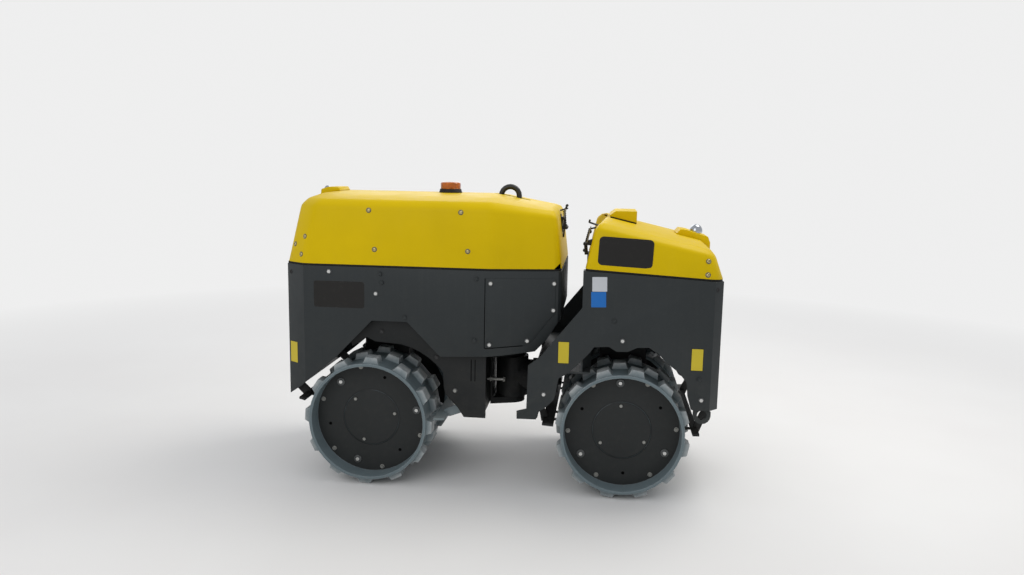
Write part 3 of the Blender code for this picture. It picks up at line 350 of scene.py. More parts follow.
MATERIALS = {
    "yellow_hood": painted(
        "hood_yellow_paint", (0.655, 0.460, 0.002), 0.40,
        dust=0.01, wear=0.10, worn=(0.30, 0.21, 0.02), streaks=0.008, gloss=0.08),
    "grey_panel": painted(
        "panel_grey_paint", (0.024, 0.0285, 0.030), 0.46, dust=0.04, wear=0.25, soil=0.05, streaks=0.01),
    # Rear frame plates: dark grey paint, made darker still as painted shade under the tub
    "frame_grey_shaded": painted(
        "frame_plate_grey_and_shade", (0.013, 0.0145, 0.015), 0.50,
        dust=0.04, wear=0.25, worn=(0.08, 0.08, 0.08), soil=0.04),
    "dark_frame": painted(
        "frame_black_paint", (0.008, 0.009, 0.0095), 0.52,
        dust=0.06, wear=0.30, worn=(0.07, 0.07, 0.06), soil=0.04),
    "drum_steel": painted(
        "scraper_blue_grey", DRUM_COLOUR, 0.48,
        dust=0.20, wear=0.7, worn=(0.32, 0.33, 0.32), grain=500.0, depth=0.00012, soil=0.20, gloss=0.4),
    "rear_drum": drum_paint("rear_drum_paint", REAR_AXLE),
    "front_drum": drum_paint("front_drum_paint", FRONT_AXLE),
    "black_steel": painted(
        "steel_black_paint", (0.010, 0.010, 0.011), 0.42,
        dust=0.08, wear=0.3, worn=(0.10, 0.10, 0.09), soil=0.06, gloss=0.5),
    "zinc": painted(
        "zinc_plate", (0.58, 0.58, 0.57), 0.20,
        dust=0.04, worn=(0.3, 0.29, 0.27), grain=700.0, depth=0.00003, metallic=1.0),
    # Dark steel of the disc bolts' cups and the zinc bolts' washers: painted contact shadow round the heads
    "shadow_ring_steel": painted(
        "shadow_ring_steel", (0.10, 0.105, 0.105), 0.38,
        dust=0.08, wear=0.3, worn=(0.2, 0.2, 0.2), grain=600.0, depth=0.00004, metallic=0.5),
    "brassy_zinc": painted(
        "passivated_plate", (0.42, 0.36, 0.19), 0.20,
        dust=0.06, worn=(0.3, 0.28, 0.2), grain=700.0, depth=0.00003, metallic=1.0),
    "dull_zinc": painted(
        "dull_zinc_plate", (0.30, 0.30, 0.28), 0.40,
        dust=0.15, wear=0.3, worn=(0.2, 0.2, 0.18), grain=500.0, metallic=0.6),
    "black_plastic": painted(
        "moulded_black", (0.010, 0.010, 0.011), 0.50, dust=0.06, wear=0.0, grain=1200.0, depth=0.0001),
    "chrome": painted(
        "polished_dome", (0.42, 0.44, 0.47), 0.07,
        dust=0.02, wear=0.0, grain=300.0, depth=0.000005, metallic=1.0),
    "engine_iron": painted(
        "engine_iron", (0.05, 0.05, 0.052), 0.6, dust=0.2, wear=0.4, worn=(0.2, 0.2, 0.2), metallic=0.3),
    "hose_rubber": painted(
        "seal_rubber", (0.008, 0.008, 0.008), 0.70, dust=0.03, wear=0.0, grain=1400.0, depth=0.0001),
    "amber_lens": glassy("amber_lens_plain", (0.66, 0.17, 0.004), 0.08),
    # Flat black of the disc holes, frame slots and panel seams: painted shade of their depth
    "shade_black": painted("painted_hole_shade", (0.002, 0.002, 0.002), 0.9, dust=0.0, wear=0.0, gloss=0.0),
    "dark_plate": sticker("blank_dark_plate", (0.011, 0.010, 0.009)),
    "yellow_plate": sticker("blank_yellow_plate", (0.56, 0.44, 0.03)),
    "white_plate": sticker("blank_white_plate", (0.52, 0.54, 0.57)),
    "blue_plate": sticker("blank_blue_plate", (0.012, 0.135, 0.45)),
}


# Mesh helpers
# Edges that turn by more degrees than this stay hard: on most pieces, on round ones and on the seal
PIECE_SHARP, ROUND_SHARP, SEAL_SHARP = 35, 60, 80
# A unit normal with more upward length than this is taken as upright
STEEP = 0.95


def piece(name, bm, finish, body, sharp=PIECE_SHARP):
    """A new mesh that rides on a body."""
    bmesh.ops.recalc_face_normals(bm, faces=bm.faces)
    mesh = bpy.data.meshes.new(name)
    bm.to_mesh(mesh)
    bm.free()
    mesh.materials.append(MATERIALS[finish])
    mesh.shade_smooth()
    mesh.set_sharp_from_angle(angle=radians(sharp))
    made = bpy.data.objects.new(name, mesh)
    bpy.context.scene.collection.objects.link(made)
    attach(made, body)
    return made


def frame_at(point, normal):
    """A matrix whose Z points along the normal and whose Y is as near up as it can be."""
    z = Vector(normal).normalized()
    up = Vector((1, 0, 0)) if abs(z.z) > STEEP else Vector((0, 0, 1))
    x = up.cross(z).normalized()
    y = z.cross(x)
    return Matrix((
        (x.x, y.x, z.x, point[0]),
        (x.y, y.y, z.y, point[1]),
        (x.z, y.z, z.z, point[2]),
        (0, 0, 0, 1),
    ))


def on_node(name, start, direction):
    """Where a ray first meets a node, and the way that face looks."""
    mesh = NODES[name].data
    tree = BVHTree.FromPolygons([v.co for v in mesh.vertices], [tuple(f.vertices) for f in mesh.polygons])
    point, normal, _, _ = tree.ray_cast(Vector(start), Vector(direction).normalized())
    assert point, f"nothing of {name} at {start}"
    return point, normal


def from_side(name, x, z, side):
    """The frame of a small piece on a side wall, found by looking inwards along Y from a metre out."""
    point, normal = on_node(name, (x, side, z), (0, -side, 0))
    return frame_at(point, normal)


def skin(bm, rings):
    """A closed solid from rings of vertices, with a cap on both ends."""
    count = len(rings[0])
    for low, high in zip(rings, rings[1:]):
        for i in range(count):
            j = (i + 1) % count
            bm.faces.new((low[i], low[j], high[j], high[i]))
    bm.faces.new(rings[0][::-1])
    bm.faces.new(rings[-1])


def turned(bm, place, profile, sides, turn=0.0):
    """A closed round solid about the frame's Z, from rows of radius and height."""
    around = [2 * pi * i / sides + turn for i in range(sides)]
    skin(bm, [[bm.verts.new(place @ Vector((radius * cos(a), radius * sin(a), height))) for a in around]
              for radius, height in profile])


def quarter(steps):
    """Angles from the foot of a dome upwards, without the foot and the pole."""
    return [pi / 2 * i / steps for i in range(1, steps)]


# Sides of the round pieces
BEACON_SIDES = 72
DOME_SIDES = 48
CUP_SIDES = 28
WASHER_SIDES = 24
CAP_SIDES = 24
BUTTON_SIDES = 20
PLUG_SIDES = 16
ROD_SIDES = 16
COIL_SIDES = 14
BAR_SIDES = 12

# Hexagon bolts: rows of the washer as distance in from its rim and height, its thickness, the height of the
# head's chamfer, and the share of the head's width at its top
WASHER_ROWS = [(0.0006, 0.0), (0.0, 0.0005), (0.0, 0.0014), (0.0005, 0.0018)]
WASHER = 0.0018
CHAMFER = 0.0012
CHAMFER_SHARE = 0.86
# Button heads: rows of the washer as above, radius, height, height of the seat, share of the radius to the
# washer's rim, steps and angle of the dome
BUTTON_WASHER_ROWS = [(0.0, 0.0), (0.0, 0.0008), (0.0008, 0.0013)]
BUTTON_RADIUS = 0.0085
BUTTON_HEIGHT = 0.0045
BUTTON_SEAT = 0.0012
BUTTON_FLANGE = 1.28
BUTTON_STEPS = 5
BUTTON_ROUND = 0.8 * pi / 2
# The socket of a button head, as shares of its radius and top
BUTTON_SOCKET = [(0.30, 0.99), (0.28, 0.35), (0.05, 0.30)]
# A plug's rows: share of the radius, height
PLUG_ROWS = [(1.0, 0.0), (1.0, 0.0007), (0.85, 0.0012), (0.6, 0.0010), (0.5, 0.0004), (0.1, 0.0003)]
# The cup round a disc bolt: radius and height of each row
CUP_ROWS = [(0.0175, 0.0), (0.0175, 0.003), (0.0160, 0.0045), (0.0125, 0.0045), (0.0120, 0.0020),
            (0.0110, 0.0019)]


def hex_bolt(bm, place, across, height, washer, turn=0.3, under=None):
    """A washer, in its own mesh if one is given, with a chamfered hexagon head on it."""
    rows = [(washer - inset, rise) for inset, rise in WASHER_ROWS]
    corner = across / 2 / cos(pi / 6)
    top = WASHER + height
    turned(bm if under is None else under, place, rows, WASHER_SIDES)
    turned(bm, place, [(corner, WASHER), (corner, top - CHAMFER), (corner * CHAMFER_SHARE, top)], 6, turn)


def button_bolt(bm, place, under):
    """A low domed head with a socket, on a washer in its own mesh."""
    flange = BUTTON_RADIUS * BUTTON_FLANGE
    top = BUTTON_SEAT + BUTTON_HEIGHT
    bend = [BUTTON_ROUND * i / BUTTON_STEPS for i in range(BUTTON_STEPS + 1)]
    dome = [(BUTTON_RADIUS * cos(a), BUTTON_SEAT + BUTTON_HEIGHT * sin(a)) for a in bend]
    socket = [(BUTTON_RADIUS * r, top * h) for r, h in BUTTON_SOCKET]
    turned(under, place, [(flange - inset, rise) for inset, rise in BUTTON_WASHER_ROWS], BUTTON_SIDES)
    turned(bm, place, dome + socket, BUTTON_SIDES)


def plug(bm, place, radius):
    """A plug in a hole: a thin lip round a hollow centre, rubber on the corner faces and painted shade black
    on the end discs.
    """
    turned(bm, place, [(radius * share, height) for share, height in PLUG_ROWS], PLUG_SIDES)


# Softened copies of the hard-edged nodes: usual width of the bevel, width above which it gets a third
# segment, and the widths of single nodes
BEVEL = 0.0015
WIDE_BEVEL = 0.0025
BEVELS = {
    "rear_drum_left": 0.0035, "rear_drum_right": 0.0035,
    "front_drum_left": 0.0035, "front_drum_right": 0.0035,
    "rear_drum_carrier": 0.003, "front_drum_carrier": 0.003, "rear_cross_beam": 0.003, "control_lid": 0.003,
    "tie_down_eye_left": 0.003, "tie_down_eye_right": 0.003, "rear_tub": 0.0020, "front_tub": 0.0020,
    "engine_block": 0.010, "rear_receiver_housing": 0.007, "receiver_pod": 0.004,
}
# Nodes that have no softened copy: five are shown as they are, three are made again as round pieces
KEPT = {
    "rear_hood_seal", "front_hood_seal", "rear_scraper_outer", "front_scraper_outer", "oscillation_bearing",
    "beacon_lens", "receiver_dome", "beacon_base",
}
# Nodes whose finish differs from that of their slot
OWN_FINISH = {
    "rear_drum_left": "rear_drum", "rear_drum_right": "rear_drum",
    "front_drum_left": "front_drum", "front_drum_right": "front_drum",
    "rear_frame_plate_left": "frame_grey_shaded", "rear_frame_plate_right": "frame_grey_shaded",
}
# Vertices closer than this are one
WELD = 0.00002
# Degrees: faces that lean less make one flat face, edges that turn more are bevelled
FLAT = 0.6
SHARP = 32


def softened(name, finish):
    """The node's own form with its flat faces made whole and its hard edges bevelled."""
    node = NODES[name]
    bm = bmesh.new()
    bm.from_mesh(node.data)
    bmesh.ops.remove_doubles(bm, verts=bm.verts, dist=WELD)
    bmesh.ops.dissolve_limit(bm, angle_limit=radians(FLAT), verts=bm.verts, edges=bm.edges)
    mesh = bpy.data.meshes.new(name + "_soft")
    bm.to_mesh(mesh)
    bm.free()
    mesh.shade_smooth()
    made = bpy.data.objects.new(name + "_soft", mesh)
    bpy.context.scene.collection.objects.link(made)
    bevel = made.modifiers.new("bevel", "BEVEL")
    bevel.width = BEVELS.get(name, BEVEL)
    bevel.segments = 3 if bevel.width > WIDE_BEVEL else 2
    bevel.limit_method = "ANGLE"
    bevel.angle_limit = radians(SHARP)
    bevel.harden_normals = True
    graph = bpy.context.evaluated_depsgraph_get()
    made.data = bpy.data.meshes.new_from_object(made.evaluated_get(graph), depsgraph=graph)
    made.modifiers.clear()
    made.data.materials.clear()
    made.data.materials.append(MATERIALS[finish])
    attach(made, node["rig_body"])
    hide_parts(name)
    return made


def dress_nodes():
    """Every node gets its finish. Those with hard edges are replaced by softened copies."""
    slots = {row["node"]: row["material_slot"] for row in frame["record"]["subparts"]}
    for name, node in NODES.items():
        finish = OWN_FINISH.get(name, slots[name])
        node.data.materials.clear()
        node.data.materials.append(MATERIALS[finish])
        if name not in KEPT:
            softened(name, finish)


# Drum end discs: kind, radius of its circle, count, first angle, finish, slot
DISC_FITTINGS = [
    ("small_bolts", 0.2300, 6, 0, "dull_zinc", "zinc"),
    # Cups: dark as painted shade round the big bolts
    ("cups", 0.2065, 3, 90, "shadow_ring_steel", "black_steel"),
    ("big_bolts", 0.2065, 3, 90, "zinc", "zinc"),
    # Holes: flat black, painted shade of their depth
    ("holes", 0.1915, 3, 30, "shade_black", "black_plastic"),
    ("inner_bolts", 0.1070, 3, 90, "dull_zinc", "zinc"),
]
# Disc bolts: across the flats, height, radius of the washer, turn from one bolt to the next in radians
DISC_BOLTS = {
    "small_bolts": (0.0117, 0.0055, 0.01014, 0.7),
    "big_bolts": (0.01615, 0.0065, 0.0100, 0.9),
    "inner_bolts": (0.0135, 0.0055, 0.0117, 0.7),
}
DISC_HOLE = 0.0068


def drum_fittings(body, axle, turn):
    """Bolts, cups and holes on both end discs of a drum."""
    for side, end in SIDES.items():
        for kind, circle, count, first, finish, slot in DISC_FITTINGS:
            bm = bmesh.new()
            for i in range(count):
                a = radians(first + turn + 360 * i / count)
                at = (axle.x + circle * cos(a), side * (DRUM_EDGE - DISC_RECESS), axle.z + circle * sin(a))
                place = frame_at(at, (0, side, 0))
                if kind == "holes":
                    plug(bm, place, DISC_HOLE)
                elif kind == "cups":
                    turned(bm, place, CUP_ROWS, CUP_SIDES)
                else:
                    across, height, washer, step = DISC_BOLTS[kind]
                    hex_bolt(bm, place, across, height, washer, i * step)
            piece(f"{body}_{end}_{kind}", bm, finish, body)


# Bolts on the side walls and corner faces: piece name, node, body, kind, finish, list of (x, z)
SIDE_BOLTS = [
    ("hood_bolts", "engine_hood", "engine_cover", "button", "brassy_zinc",
     [(-0.550, 1.197), (-0.157, 1.197), (-0.524, 1.033), (-0.125, 1.036)]),
    ("front_hood_bolts", "front_hood", "front_cover", "button", "brassy_zinc",
     [(0.860, 1.026), (0.859, 0.972)]),
    ("tub_bolts", "rear_tub", "rear_section", "hex", "zinc", [(-0.722, 0.934), (-0.518, 0.845)]),
    ("tub_painted_bolts", "rear_tub", "rear_section", "hex", "grey_panel",
     [(-0.4995, 0.9305), (-0.492, 0.8935), (-0.087, 0.923), (-0.392, 0.746), (-0.092, 0.659)]),
    ("frame_bolts", "rear_frame_plate_{side}", "rear_section", "hex", "dull_zinc", [(-0.183, 0.422)]),
    ("frame_painted_bolts", "rear_frame_plate_{side}", "rear_section", "hex", "black_steel",
     [(-0.507, 0.672), (-0.264, 0.5675)]),
    ("panel_bolts", "access_panel_{side}", "rear_section", "hex", "zinc",
     [(-0.0265, 0.905), (0.2355, 0.905), (0.2345, 0.791), (-0.0285, 0.644), (0.128, 0.660)]),
    ("front_tub_bolts", "front_tub", "front_section", "hex", "zinc",
     [(0.208, 0.446), (0.528, 0.688), (0.857, 0.453)]),
    ("front_tub_painted_bolts", "front_tub", "front_section", "hex", "grey_panel",
     [(0.491, 0.770), (0.845, 0.540)]),
    ("hood_corner_bolts", "engine_hood", "engine_cover", "button", "brassy_zinc",
     [(-0.833, 1.079), (-0.888, 1.042), (-0.850, 1.002)]),
]
# Hexagon bolts there: across the flats, height, radius of the washer, turn from one bolt to the next
SIDE_HEX = (0.0145, 0.0055, 0.0105)
SIDE_HEX_TURN = 1.1
# Plugs on the narrow corner faces: piece name, node, body, x, z, radius
CORNER_PLUGS = [
    ("tub_corner_plugs", "rear_tub", "rear_section", -0.909, 0.921, 0.009),
    ("front_tub_corner_plugs", "front_tub", "front_section", 0.902, 0.912, 0.010),
]


def side_bolts():
    """Bolts with their washers. Zinc bolts have washers darkened as painted contact shadow, the others have
    washers like themselves.
    """
    for name, node, body, kind, finish, places in SIDE_BOLTS:
        bm, washers = bmesh.new(), bmesh.new()
        slot = "zinc" if "zinc" in finish else finish
        for side, end in SIDES.items():
            for i, (x, z) in enumerate(places):
                place = from_side(node.format(side=end), x, z, side)
                if kind == "button":
                    button_bolt(bm, place, washers)
                else:
                    hex_bolt(bm, place, *SIDE_HEX, i * SIDE_HEX_TURN, washers)
        piece(name, bm, finish, body)
        piece(name + "_washers", washers, "shadow_ring_steel" if slot == "zinc" else finish, body)


def corner_plugs():
    for name, node, body, x, z, radius in CORNER_PLUGS:
        bm = bmesh.new()
        for side in SIDES:
            plug(bm, from_side(node, x, z, side), radius)
        piece(name, bm, "black_plastic", body)


# Blank plates and lines. Layers, from the wall out: inset, lower height, upper height, finish
THIN = 0.0005
DARK = [(0.0, 0.0, THIN, "dark_plate"), (0.005, THIN, 1.6 * THIN, "dark_plate")]
BENT = [(0.0, -0.001, 0.0016, "dark_plate"), (0.005, 0.0016, 0.0020, "dark_plate")]
# Lines: dark strips on the frame slots and the access panel's edges, painted shade of the gaps
LINE = [(0.0, 0.0, THIN, "shade_black")]
YELLOW = [(0.0, 0.0, THIN, "dark_plate"), (0.0022, THIN, 2 * THIN, "yellow_plate")]
WHITE = [(0.0, 0.0, THIN, "white_plate")]
BLUE = [(0.0, 0.0, THIN, "blue_plate"), (0.004, THIN, 1.6 * THIN, "blue_plate")]
PLATE_EDGE = 0.0002
LEAST_CORNER = 0.001
CORNER_STEPS = 6
# Name, node, x, z, width, height, corner radius, tilt in degrees, layers, body
PLATES = [
    ("rear_blank_plate", "rear_tub", -0.680, 0.836, 0.222, 0.114, 0.010, 0.0, DARK, "rear_section"),
    ("front_blank_plate", "front_hood", 0.5285, 1.0524, 0.2215, 0.117, 0.018, 3.0, BENT, "front_cover"),
    ("frame_slot_outer", "rear_frame_plate_{side}", -0.113, 0.515, 0.0035, 0.096, 0.001, 0.0, LINE,
     "rear_section"),
    ("frame_slot_inner", "rear_frame_plate_{side}", -0.096, 0.515, 0.0030, 0.096, 0.001, 0.0, LINE,
     "rear_section"),
    ("panel_edge_side", "rear_tub", -0.0497, 0.776, 0.0032, 0.300, 0.001, 0.0, LINE, "rear_section"),
    ("panel_edge_corner", "rear_tub", -0.0390, 0.6262, 0.0190, 0.0032, 0.001, -4.3, LINE, "rear_section"),
    ("panel_edge_foot", "rear_tub", 0.0400, 0.6325, 0.1440, 0.0032, 0.001, -4.3, LINE, "rear_section"),
    ("corner_plate", "rear_tub", -0.899, 0.567, 0.052, 0.096, 0.003, 0.0, YELLOW, "rear_section"),
    ("middle_plate", "front_tub", 0.287, 0.629, 0.048, 0.094, 0.003, 0.0, YELLOW, "front_section"),
    ("end_plate", "front_tub", 0.833, 0.622, 0.050, 0.094, 0.003, 0.0, YELLOW, "front_section"),
    ("white_plate", "front_tub", 0.427, 0.9205, 0.0605, 0.060, 0.002, -1.5, WHITE, "front_section"),
    ("blue_plate", "front_tub", 0.4245, 0.857, 0.061, 0.064, 0.002, -2.0, BLUE, "front_section"),
]


def rounded(half_w, half_h, radius):
    """Points of a rectangle with round corners, once round from its right side."""
    outline = []
    for sx, sy, first in ((1, 1, 0), (-1, 1, 90), (-1, -1, 180), (1, -1, 270)):
        u, v = sx * (half_w - radius), sy * (half_h - radius)
        turns = [radians(first + 90 / CORNER_STEPS * k) for k in range(CORNER_STEPS + 1)]
        outline += [(u + radius * cos(a), v + radius * sin(a)) for a in turns]
    return outline


def plate(name, centre, size, corner, layers, body):
    """A thin plate with round corners and softened edges, one piece for each layer."""
    for i, (inset, low, high, finish) in enumerate(layers):
        half_w, half_h = size[0] / 2 - inset, size[1] / 2 - inset
        outline = rounded(half_w, half_h, max(corner - inset, LEAST_CORNER))
        bm = bmesh.new()
        rings = []
        for shrink, height in ((0.0, low), (0.0, high - PLATE_EDGE), (PLATE_EDGE, high)):
            rings.append([
                bm.verts.new(centre @ Vector((u * (1 - shrink / half_w), v * (1 - shrink / half_h), height)))
                for u, v in outline
            ])
        skin(bm, rings)
        piece(f"{name}_{i}", bm, finish, body)


def plates():
    for side, end in SIDES.items():
        for name, node, x, z, width, height, corner, tilt, layers, body in PLATES:
            level = from_side(node.format(side=end), x, z, side)
            centre = level @ Matrix.Rotation(radians(side * tilt), 4, "Z")
            plate(f"{name}_{end}", centre, (width, height), corner, layers, body)


# Steering stops: place, radius of the rod, its chamfer, height of the lock nut's foot, lengths
STOP_Y, STOP_Z = 0.190, 0.445
STOP_ROD = 0.0065
STOP_CHAMFER = 0.001
STOP_NUT_FOOT = 0.012
STOP_BOLT, STOP_PAD = 0.070, 0.030
# Across the flats, height, radius of the washer
STOP_NUT = (0.018, 0.009, 0.013)
STOP_HEAD = (0.018, 0.008, 0.012)


def stop_rod(bm, node, start_x, way, side, length, turn):
    """A rod on the face that a look along X meets, with a hexagon head on its end. Gives its foot's frame."""
    foot = frame_at(*on_node(node, (start_x, side * STOP_Y, STOP_Z), (way, 0, 0)))
    end = (STOP_ROD - STOP_CHAMFER, length + STOP_CHAMFER)
    turned(bm, foot, [(STOP_ROD, 0.0), (STOP_ROD, length), end], ROD_SIDES)
    hex_bolt(bm, foot @ Matrix.Translation((0, 0, length)), *STOP_HEAD, turn)
    return foot


def steering_stops():
    """A long bolt with a lock nut on the rear beam, and the pad bolt that it meets on the front section."""
    bolts, pads = bmesh.new(), bmesh.new()
    for side in SIDES:
        foot = stop_rod(bolts, "rear_cross_beam", 0.1, -1, side, STOP_BOLT, 0.9)
        hex_bolt(bolts, foot @ Matrix.Translation((0, 0, STOP_NUT_FOOT)), *STOP_NUT)
        stop_rod(pads, "front_tub", 0.0, 1, side, STOP_PAD, 0.4)
    piece("steering_stop_bolts", bolts, "dull_zinc", "rear_section")
    piece("steering_stop_pads", pads, "dull_zinc", "front_section")


# Lid seal: how far it stands out, reaches in and up, its gap over the lid's foot, how far it stays from
# the lid's ends, its fall per metre, and the height under which the lid's foot is looked for
SEAL_OUT, SEAL_IN, SEAL_TALL = 0.0012, 0.001, 0.0055
SEAL_GAP = 0.0004
SEAL_FIRST, SEAL_LAST = 0.002, 0.001
SEAL_FALL = 0.094 / 0.410
LID_END = 0.001
LID_FOOT = 1.181


def lid_seal():
    """A black rubber edge along the foot of the control lid."""
    low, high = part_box("control_lid")
    ends = [v.co for v in NODES["control_lid"].data.vertices if v.co.x < low.x + LID_END]
    foot = max(at.z for at in ends if at.z < LID_FOOT) + SEAL_GAP
    section = ((-SEAL_IN, 0.0), (SEAL_OUT, 0.0), (SEAL_OUT, SEAL_TALL), (-SEAL_IN, SEAL_TALL))
    bm = bmesh.new()
    for side in SIDES:
        rings = []
        for x in (low.x + SEAL_FIRST, high.x - SEAL_LAST):
            z = foot - (x - low.x) * SEAL_FALL
            rings.append([bm.verts.new((x, side * (high.y + out), z + rise)) for out, rise in section])
        skin(bm, rings)
    piece("lid_seal", bm, "hose_rubber", "control_cover", SEAL_SHARP)


# Cap at the rear receiver: radius of its dome and rim, depth of its foot, height of the dome's foot, steps,
# its place below the housing's top and in from the end wall, how far down that wall is looked for, and from
# how far out
CAP_DOME, CAP_RIM = 0.0165, 0.0170
CAP_FOOT = 0.006
CAP_STEP = 0.001
CAP_STEPS = 8
CAP_DOWN = 0.013
CAP_IN = 0.008
CAP_LOOK_DOWN = 0.022
LOOK_FROM = 0.1


def rear_cap():
    """A small polished cap at the outer end of the rear receiver housing."""
    low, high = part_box("rear_receiver_housing")
    start = (low.x - LOOK_FROM, 0.0, high.z - CAP_LOOK_DOWN)
    point, _ = on_node("rear_receiver_housing", start, (1, 0, 0))
    place = Matrix.Translation((point.x + CAP_IN, 0.0, high.z - CAP_DOWN))
    dome = [(CAP_DOME * cos(a), CAP_DOME * sin(a) + CAP_STEP) for a in quarter(CAP_STEPS)]
    bm = bmesh.new()
    turned(bm, place, [(CAP_DOME, -CAP_FOOT), (CAP_RIM, 0.0)] + dome, CAP_SIDES)
    piece("rear_receiver_cap", bm, "chrome", "engine_cover", ROUND_SHARP)


# Wire bails, springs and hooks of the two hood catches
BAIL_Y = 0.021
BAIL_WIRE = 0.0028
# Springs: radius, share of it between the coils, where a coil's crest starts and ends, number of coils
COIL_RADIUS = 0.0068
COIL_CORE = 0.68
COIL_CREST = (0.35, 0.65)
COILS = 8
# Piece name, body, the bail's foot and top as (x, z), the spring's ends, and bars of start, end and radius
CATCHES = [
    ("engine_catch", "engine_cover",
     ((0.249, 1.128), (0.261, 1.202)), ((0.262, 0, 1.118), (0.256, 0, 1.196)), [
        ((0.256, 0, 1.190), (0.267, 0, 1.221), 0.0042),
        ((0.236, 0, 1.196), (0.272, 0, 1.207), 0.0036),
        ((0.267, -0.013, 1.219), (0.267, 0.013, 1.219), 0.0065),
        ((0.258, 0, 1.120), (0.254, 0, 1.075), 0.0040),
    ]),
    ("front_catch", "front_cover",
     ((0.362, 1.050), (0.377, 1.124)), ((0.357, 0, 1.050), (0.374, 0, 1.118)), [
        ((0.374, 0, 1.116), (0.425, 0, 1.128), 0.0040),
        ((0.424, 0, 1.128), (0.369, 0, 1.146), 0.0042),
        ((0.369, 0, 1.144), (0.373, 0, 1.158), 0.0042),
        ((0.356, 0, 1.050), (0.361, 0, 0.998), 0.0080),
        ((0.353, -0.018, 1.048), (0.353, 0.018, 1.048), 0.0080),
        ((0.352, -0.016, 1.018), (0.352, 0.016, 1.018), 0.0075),
        ((0.376, -0.018, 1.103), (0.376, 0.018, 1.103), 0.0070),
    ]),
]


def along(start, end):
    """The frame at the start of a line, with Z along it, and the line's length."""
    line = Vector(end) - Vector(start)
    return frame_at(start, line), line.length


def bar(bm, start, end, radius):
    place, length = along(start, end)
    turned(bm, place, [(radius, 0.0), (radius, length)], BAR_SIDES)


def spring(bm, start, end):
    """A row of rings that reads as a wound spring."""
    place, length = along(start, end)
    step = length / COILS
    core = COIL_RADIUS * COIL_CORE
    rows = []
    for i in range(COILS):
        rows.append((core, i * step))
        rows += [(COIL_RADIUS, (i + share) * step) for share in COIL_CREST]
    turned(bm, place, rows + [(core, COILS * step)], COIL_SIDES)


def catch_wires():
    for name, body, ((x0, z0), (x1, z1)), coil, bars in CATCHES:
        bm = bmesh.new()
        spring(bm, *coil)
        for start, end, radius in bars:
            bar(bm, start, end, radius)
        piece(name + "_spring", bm, "black_steel", body)
        bm = bmesh.new()
        for side in SIDES:
            bar(bm, (x0, side * BAIL_Y, z0), (x1, side * BAIL_Y, z1), BAIL_WIRE)
        bar(bm, (x1, -BAIL_Y - BAIL_WIRE, z1), (x1, BAIL_Y + BAIL_WIRE, z1), BAIL_WIRE)
        piece(name + "_bail", bm, "dull_zinc", body)


# Round nodes made again: rows of radius and height, as shares of the node's own
LENS_RIBS = [(1.0 if i % 2 else 0.975, 0.08 + 0.70 * i / 10) for i in range(11)]
LENS_TOP = [(0.96, 0.84), (0.90, 0.93), (0.78, 0.985), (0.55, 1.0), (0.2, 1.0)]
LENS_ROWS = [(0.985, 0.0), (1.0, 0.04)] + LENS_RIBS + LENS_TOP
BASE_ROWS = [(0.97, 0.0), (1.0, 0.06), (1.0, 0.22), (0.965, 0.40), (0.93, 0.86), (0.91, 1.0), (0.5, 1.0)]
DOME_FOOT = 0.18
DOME_STEPS = 12
DOME_ROWS = [(1.0, 0.0), (1.0, DOME_FOOT)]
DOME_ROWS += [(cos(a), DOME_FOOT + (1 - DOME_FOOT) * sin(a)) for a in quarter(DOME_STEPS)]


def round_again(name, box, rows, sides, finish, body, sharp):
    """A round piece that fills a node's box."""
    low, high = box
    radius, tall = (high.x - low.x) / 2, high.z - low.z
    foot = Matrix.Translation(((low.x + high.x) / 2, 0, low.z))
    bm = bmesh.new()
    turned(bm, foot, [(radius * r, tall * h) for r, h in rows], sides)
    return piece(name, bm, finish, body, sharp)


def beacon_and_dome():
    """The beacon's ribbed lens and stepped base, and the receiver's dome."""
    lens, base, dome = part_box("beacon_lens"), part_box("beacon_base"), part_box("receiver_dome")
    made = round_again("beacon_lens_ribbed", lens, LENS_ROWS, BEACON_SIDES, "amber_lens", "engine_cover",
                       ROUND_SHARP)
    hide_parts("beacon_lens")
    made = round_again("beacon_base_turned", base, BASE_ROWS, BEACON_SIDES, "black_plastic", "engine_cover",
                       PIECE_SHARP)
    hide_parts("beacon_base")
    made = round_again("receiver_dome_turned", dome, DOME_ROWS, DOME_SIDES, "chrome", "front_cover",
                       ROUND_SHARP)
    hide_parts("receiver_dome")


# Camera as fitted to the photograph: place, angles in degrees, focal length and photograph width in pixels
CAMERA_AT = Vector((0.4303, -3.7234, 1.3929))
YAW, PITCH, ROLL = -6.26, -8.49, 1.04
FOCAL_PIXELS, PHOTO_WIDTH = 815.26, 1024
SENSOR = 36.0


def set_camera():
    yaw, pitch, roll = radians(YAW), radians(PITCH), radians(ROLL)
    ahead = Vector((sin(yaw) * cos(pitch), cos(yaw) * cos(pitch), sin(pitch)))
    right = Vector((cos(yaw), -sin(yaw), 0.0))
    up = right.cross(ahead)
    across = right * cos(roll) + up * sin(roll)
    above = up * cos(roll) - right * sin(roll)
    camera = bpy.data.cameras.new("camera")
    camera.sensor_width = SENSOR
    camera.lens = SENSOR * FOCAL_PIXELS / PHOTO_WIDTH
    camera.clip_end = 100.0
    made = bpy.data.objects.new("camera", camera)
    made.matrix_world = Matrix((
        (across.x, above.x, -ahead.x, CAMERA_AT.x),
        (across.y, above.y, -ahead.y, CAMERA_AT.y),
        (across.z, above.z, -ahead.z, CAMERA_AT.z),
        (0, 0, 0, 1),
    ))
    bpy.context.scene.collection.objects.link(made)
    bpy.context.scene.camera = made


# Floor and backdrop
BACKDROP = (0.86, 0.86, 0.86)
SKY_LIGHT = (0.66, 0.67, 0.69)
FLOOR_SIZE = 80.0
FLOOR_DARK, FLOOR_LIGHT = (0.76, 0.75, 0.74), (0.79, 0.785, 0.775)
FADE_DISTANCES = (2.2, 6.0)


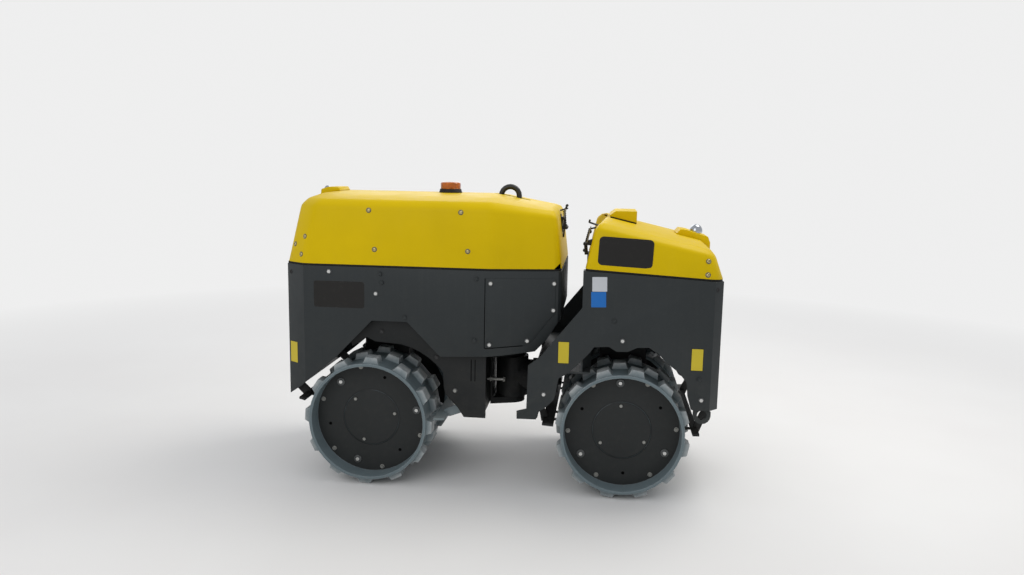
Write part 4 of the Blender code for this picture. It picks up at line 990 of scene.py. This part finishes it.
def set_floor():
    """A pale floor that keeps the shadow and fades into the backdrop's colour further out."""
    bpy.ops.mesh.primitive_plane_add(size=FLOOR_SIZE, location=(0, 0, 0))
    floor = bpy.context.object
    floor.name = "floor"
    t = Tree("floor")
    t.finished(t.mix(t.pattern(MOTTLE), FLOOR_DARK, FLOOR_LIGHT))
    t.set(Roughness=0.9, Specular_IOR_Level=0.1)
    glow = t.node("Emission")
    glow.inputs["Color"].default_value = (*BACKDROP, 1)
    length = t.node("VectorMath", operation="LENGTH")
    t.link(t.place(), length.inputs[0])
    path = t.node("LightPath")
    mirrored = t.math("MAXIMUM", path.outputs["Is Glossy Ray"], path.outputs["Is Transmission Ray"])
    seen = t.math("MAXIMUM", path.outputs["Is Camera Ray"], mirrored)
    far = t.times(t.remap(length.outputs["Value"], *FADE_DISTANCES), seen)
    mixed = t.node("MixShader")
    t.link(far, mixed.inputs["Fac"])
    t.link(t.shader.outputs["BSDF"], mixed.inputs[1])
    t.link(glow.outputs["Emission"], mixed.inputs[2])
    t.link(mixed.outputs["Shader"], t.tree.nodes["Material Output"].inputs["Surface"])
    floor.data.materials.append(t.material)


def set_world():
    """Even light all round, with the backdrop's colour where the camera sees it."""
    world = bpy.data.worlds.new("studio")
    bpy.context.scene.world = world
    world.use_nodes = True
    tree = world.node_tree
    back = tree.nodes["Background"]
    back.inputs["Strength"].default_value = 1.0
    path = tree.nodes.new("ShaderNodeLightPath")
    seen = tree.nodes.new("ShaderNodeMix")
    seen.data_type = "RGBA"
    sockets = [s for s in seen.inputs if s.type == "RGBA"]
    sockets[0].default_value = (*SKY_LIGHT, 1)
    sockets[1].default_value = (*BACKDROP, 1)
    any_view = tree.nodes.new("ShaderNodeMath")
    any_view.operation = "MAXIMUM"
    tree.links.new(path.outputs["Is Camera Ray"], any_view.inputs[0])
    tree.links.new(path.outputs["Is Transmission Ray"], any_view.inputs[1])
    tree.links.new(any_view.outputs[0], seen.inputs["Factor"])
    tree.links.new(next(s for s in seen.outputs if s.type == "RGBA"), back.inputs["Color"])


# Area lights: name, place, size, power, colour. All look at the same point.
LIGHTS = [
    ("key", (1.9, 0.9, 4.4), 2.4, 95.0, (1.0, 0.98, 0.94)),
    ("front", (-1.6, -4.2, 3.0), 3.0, 42.0, (1.0, 1.0, 1.0)),
    ("back", (-0.8, 4.2, 3.2), 3.0, 45.0, (1.0, 1.0, 1.0)),
]
LIT_POINT = Vector((0, 0, 0.5))


def set_lights():
    for name, place, size, power, colour in LIGHTS:
        light = bpy.data.lights.new(name, "AREA")
        light.size = size
        light.energy = power
        light.color = colour
        made = bpy.data.objects.new(name, light)
        made.location = place
        made.rotation_euler = (LIT_POINT - Vector(place)).to_track_quat("-Z", "Y").to_euler()
        bpy.context.scene.collection.objects.link(made)
    bpy.context.scene.view_settings.view_transform = "Standard"


dress_nodes()
drum_fittings("rear_drum", REAR_AXLE, REAR_TURN)
drum_fittings("front_drum", FRONT_AXLE, FRONT_TURN)
side_bolts()
corner_plugs()
plates()
steering_stops()
lid_seal()
rear_cap()
catch_wires()
beacon_and_dome()
set_camera()
set_floor()
set_world()
set_lights()
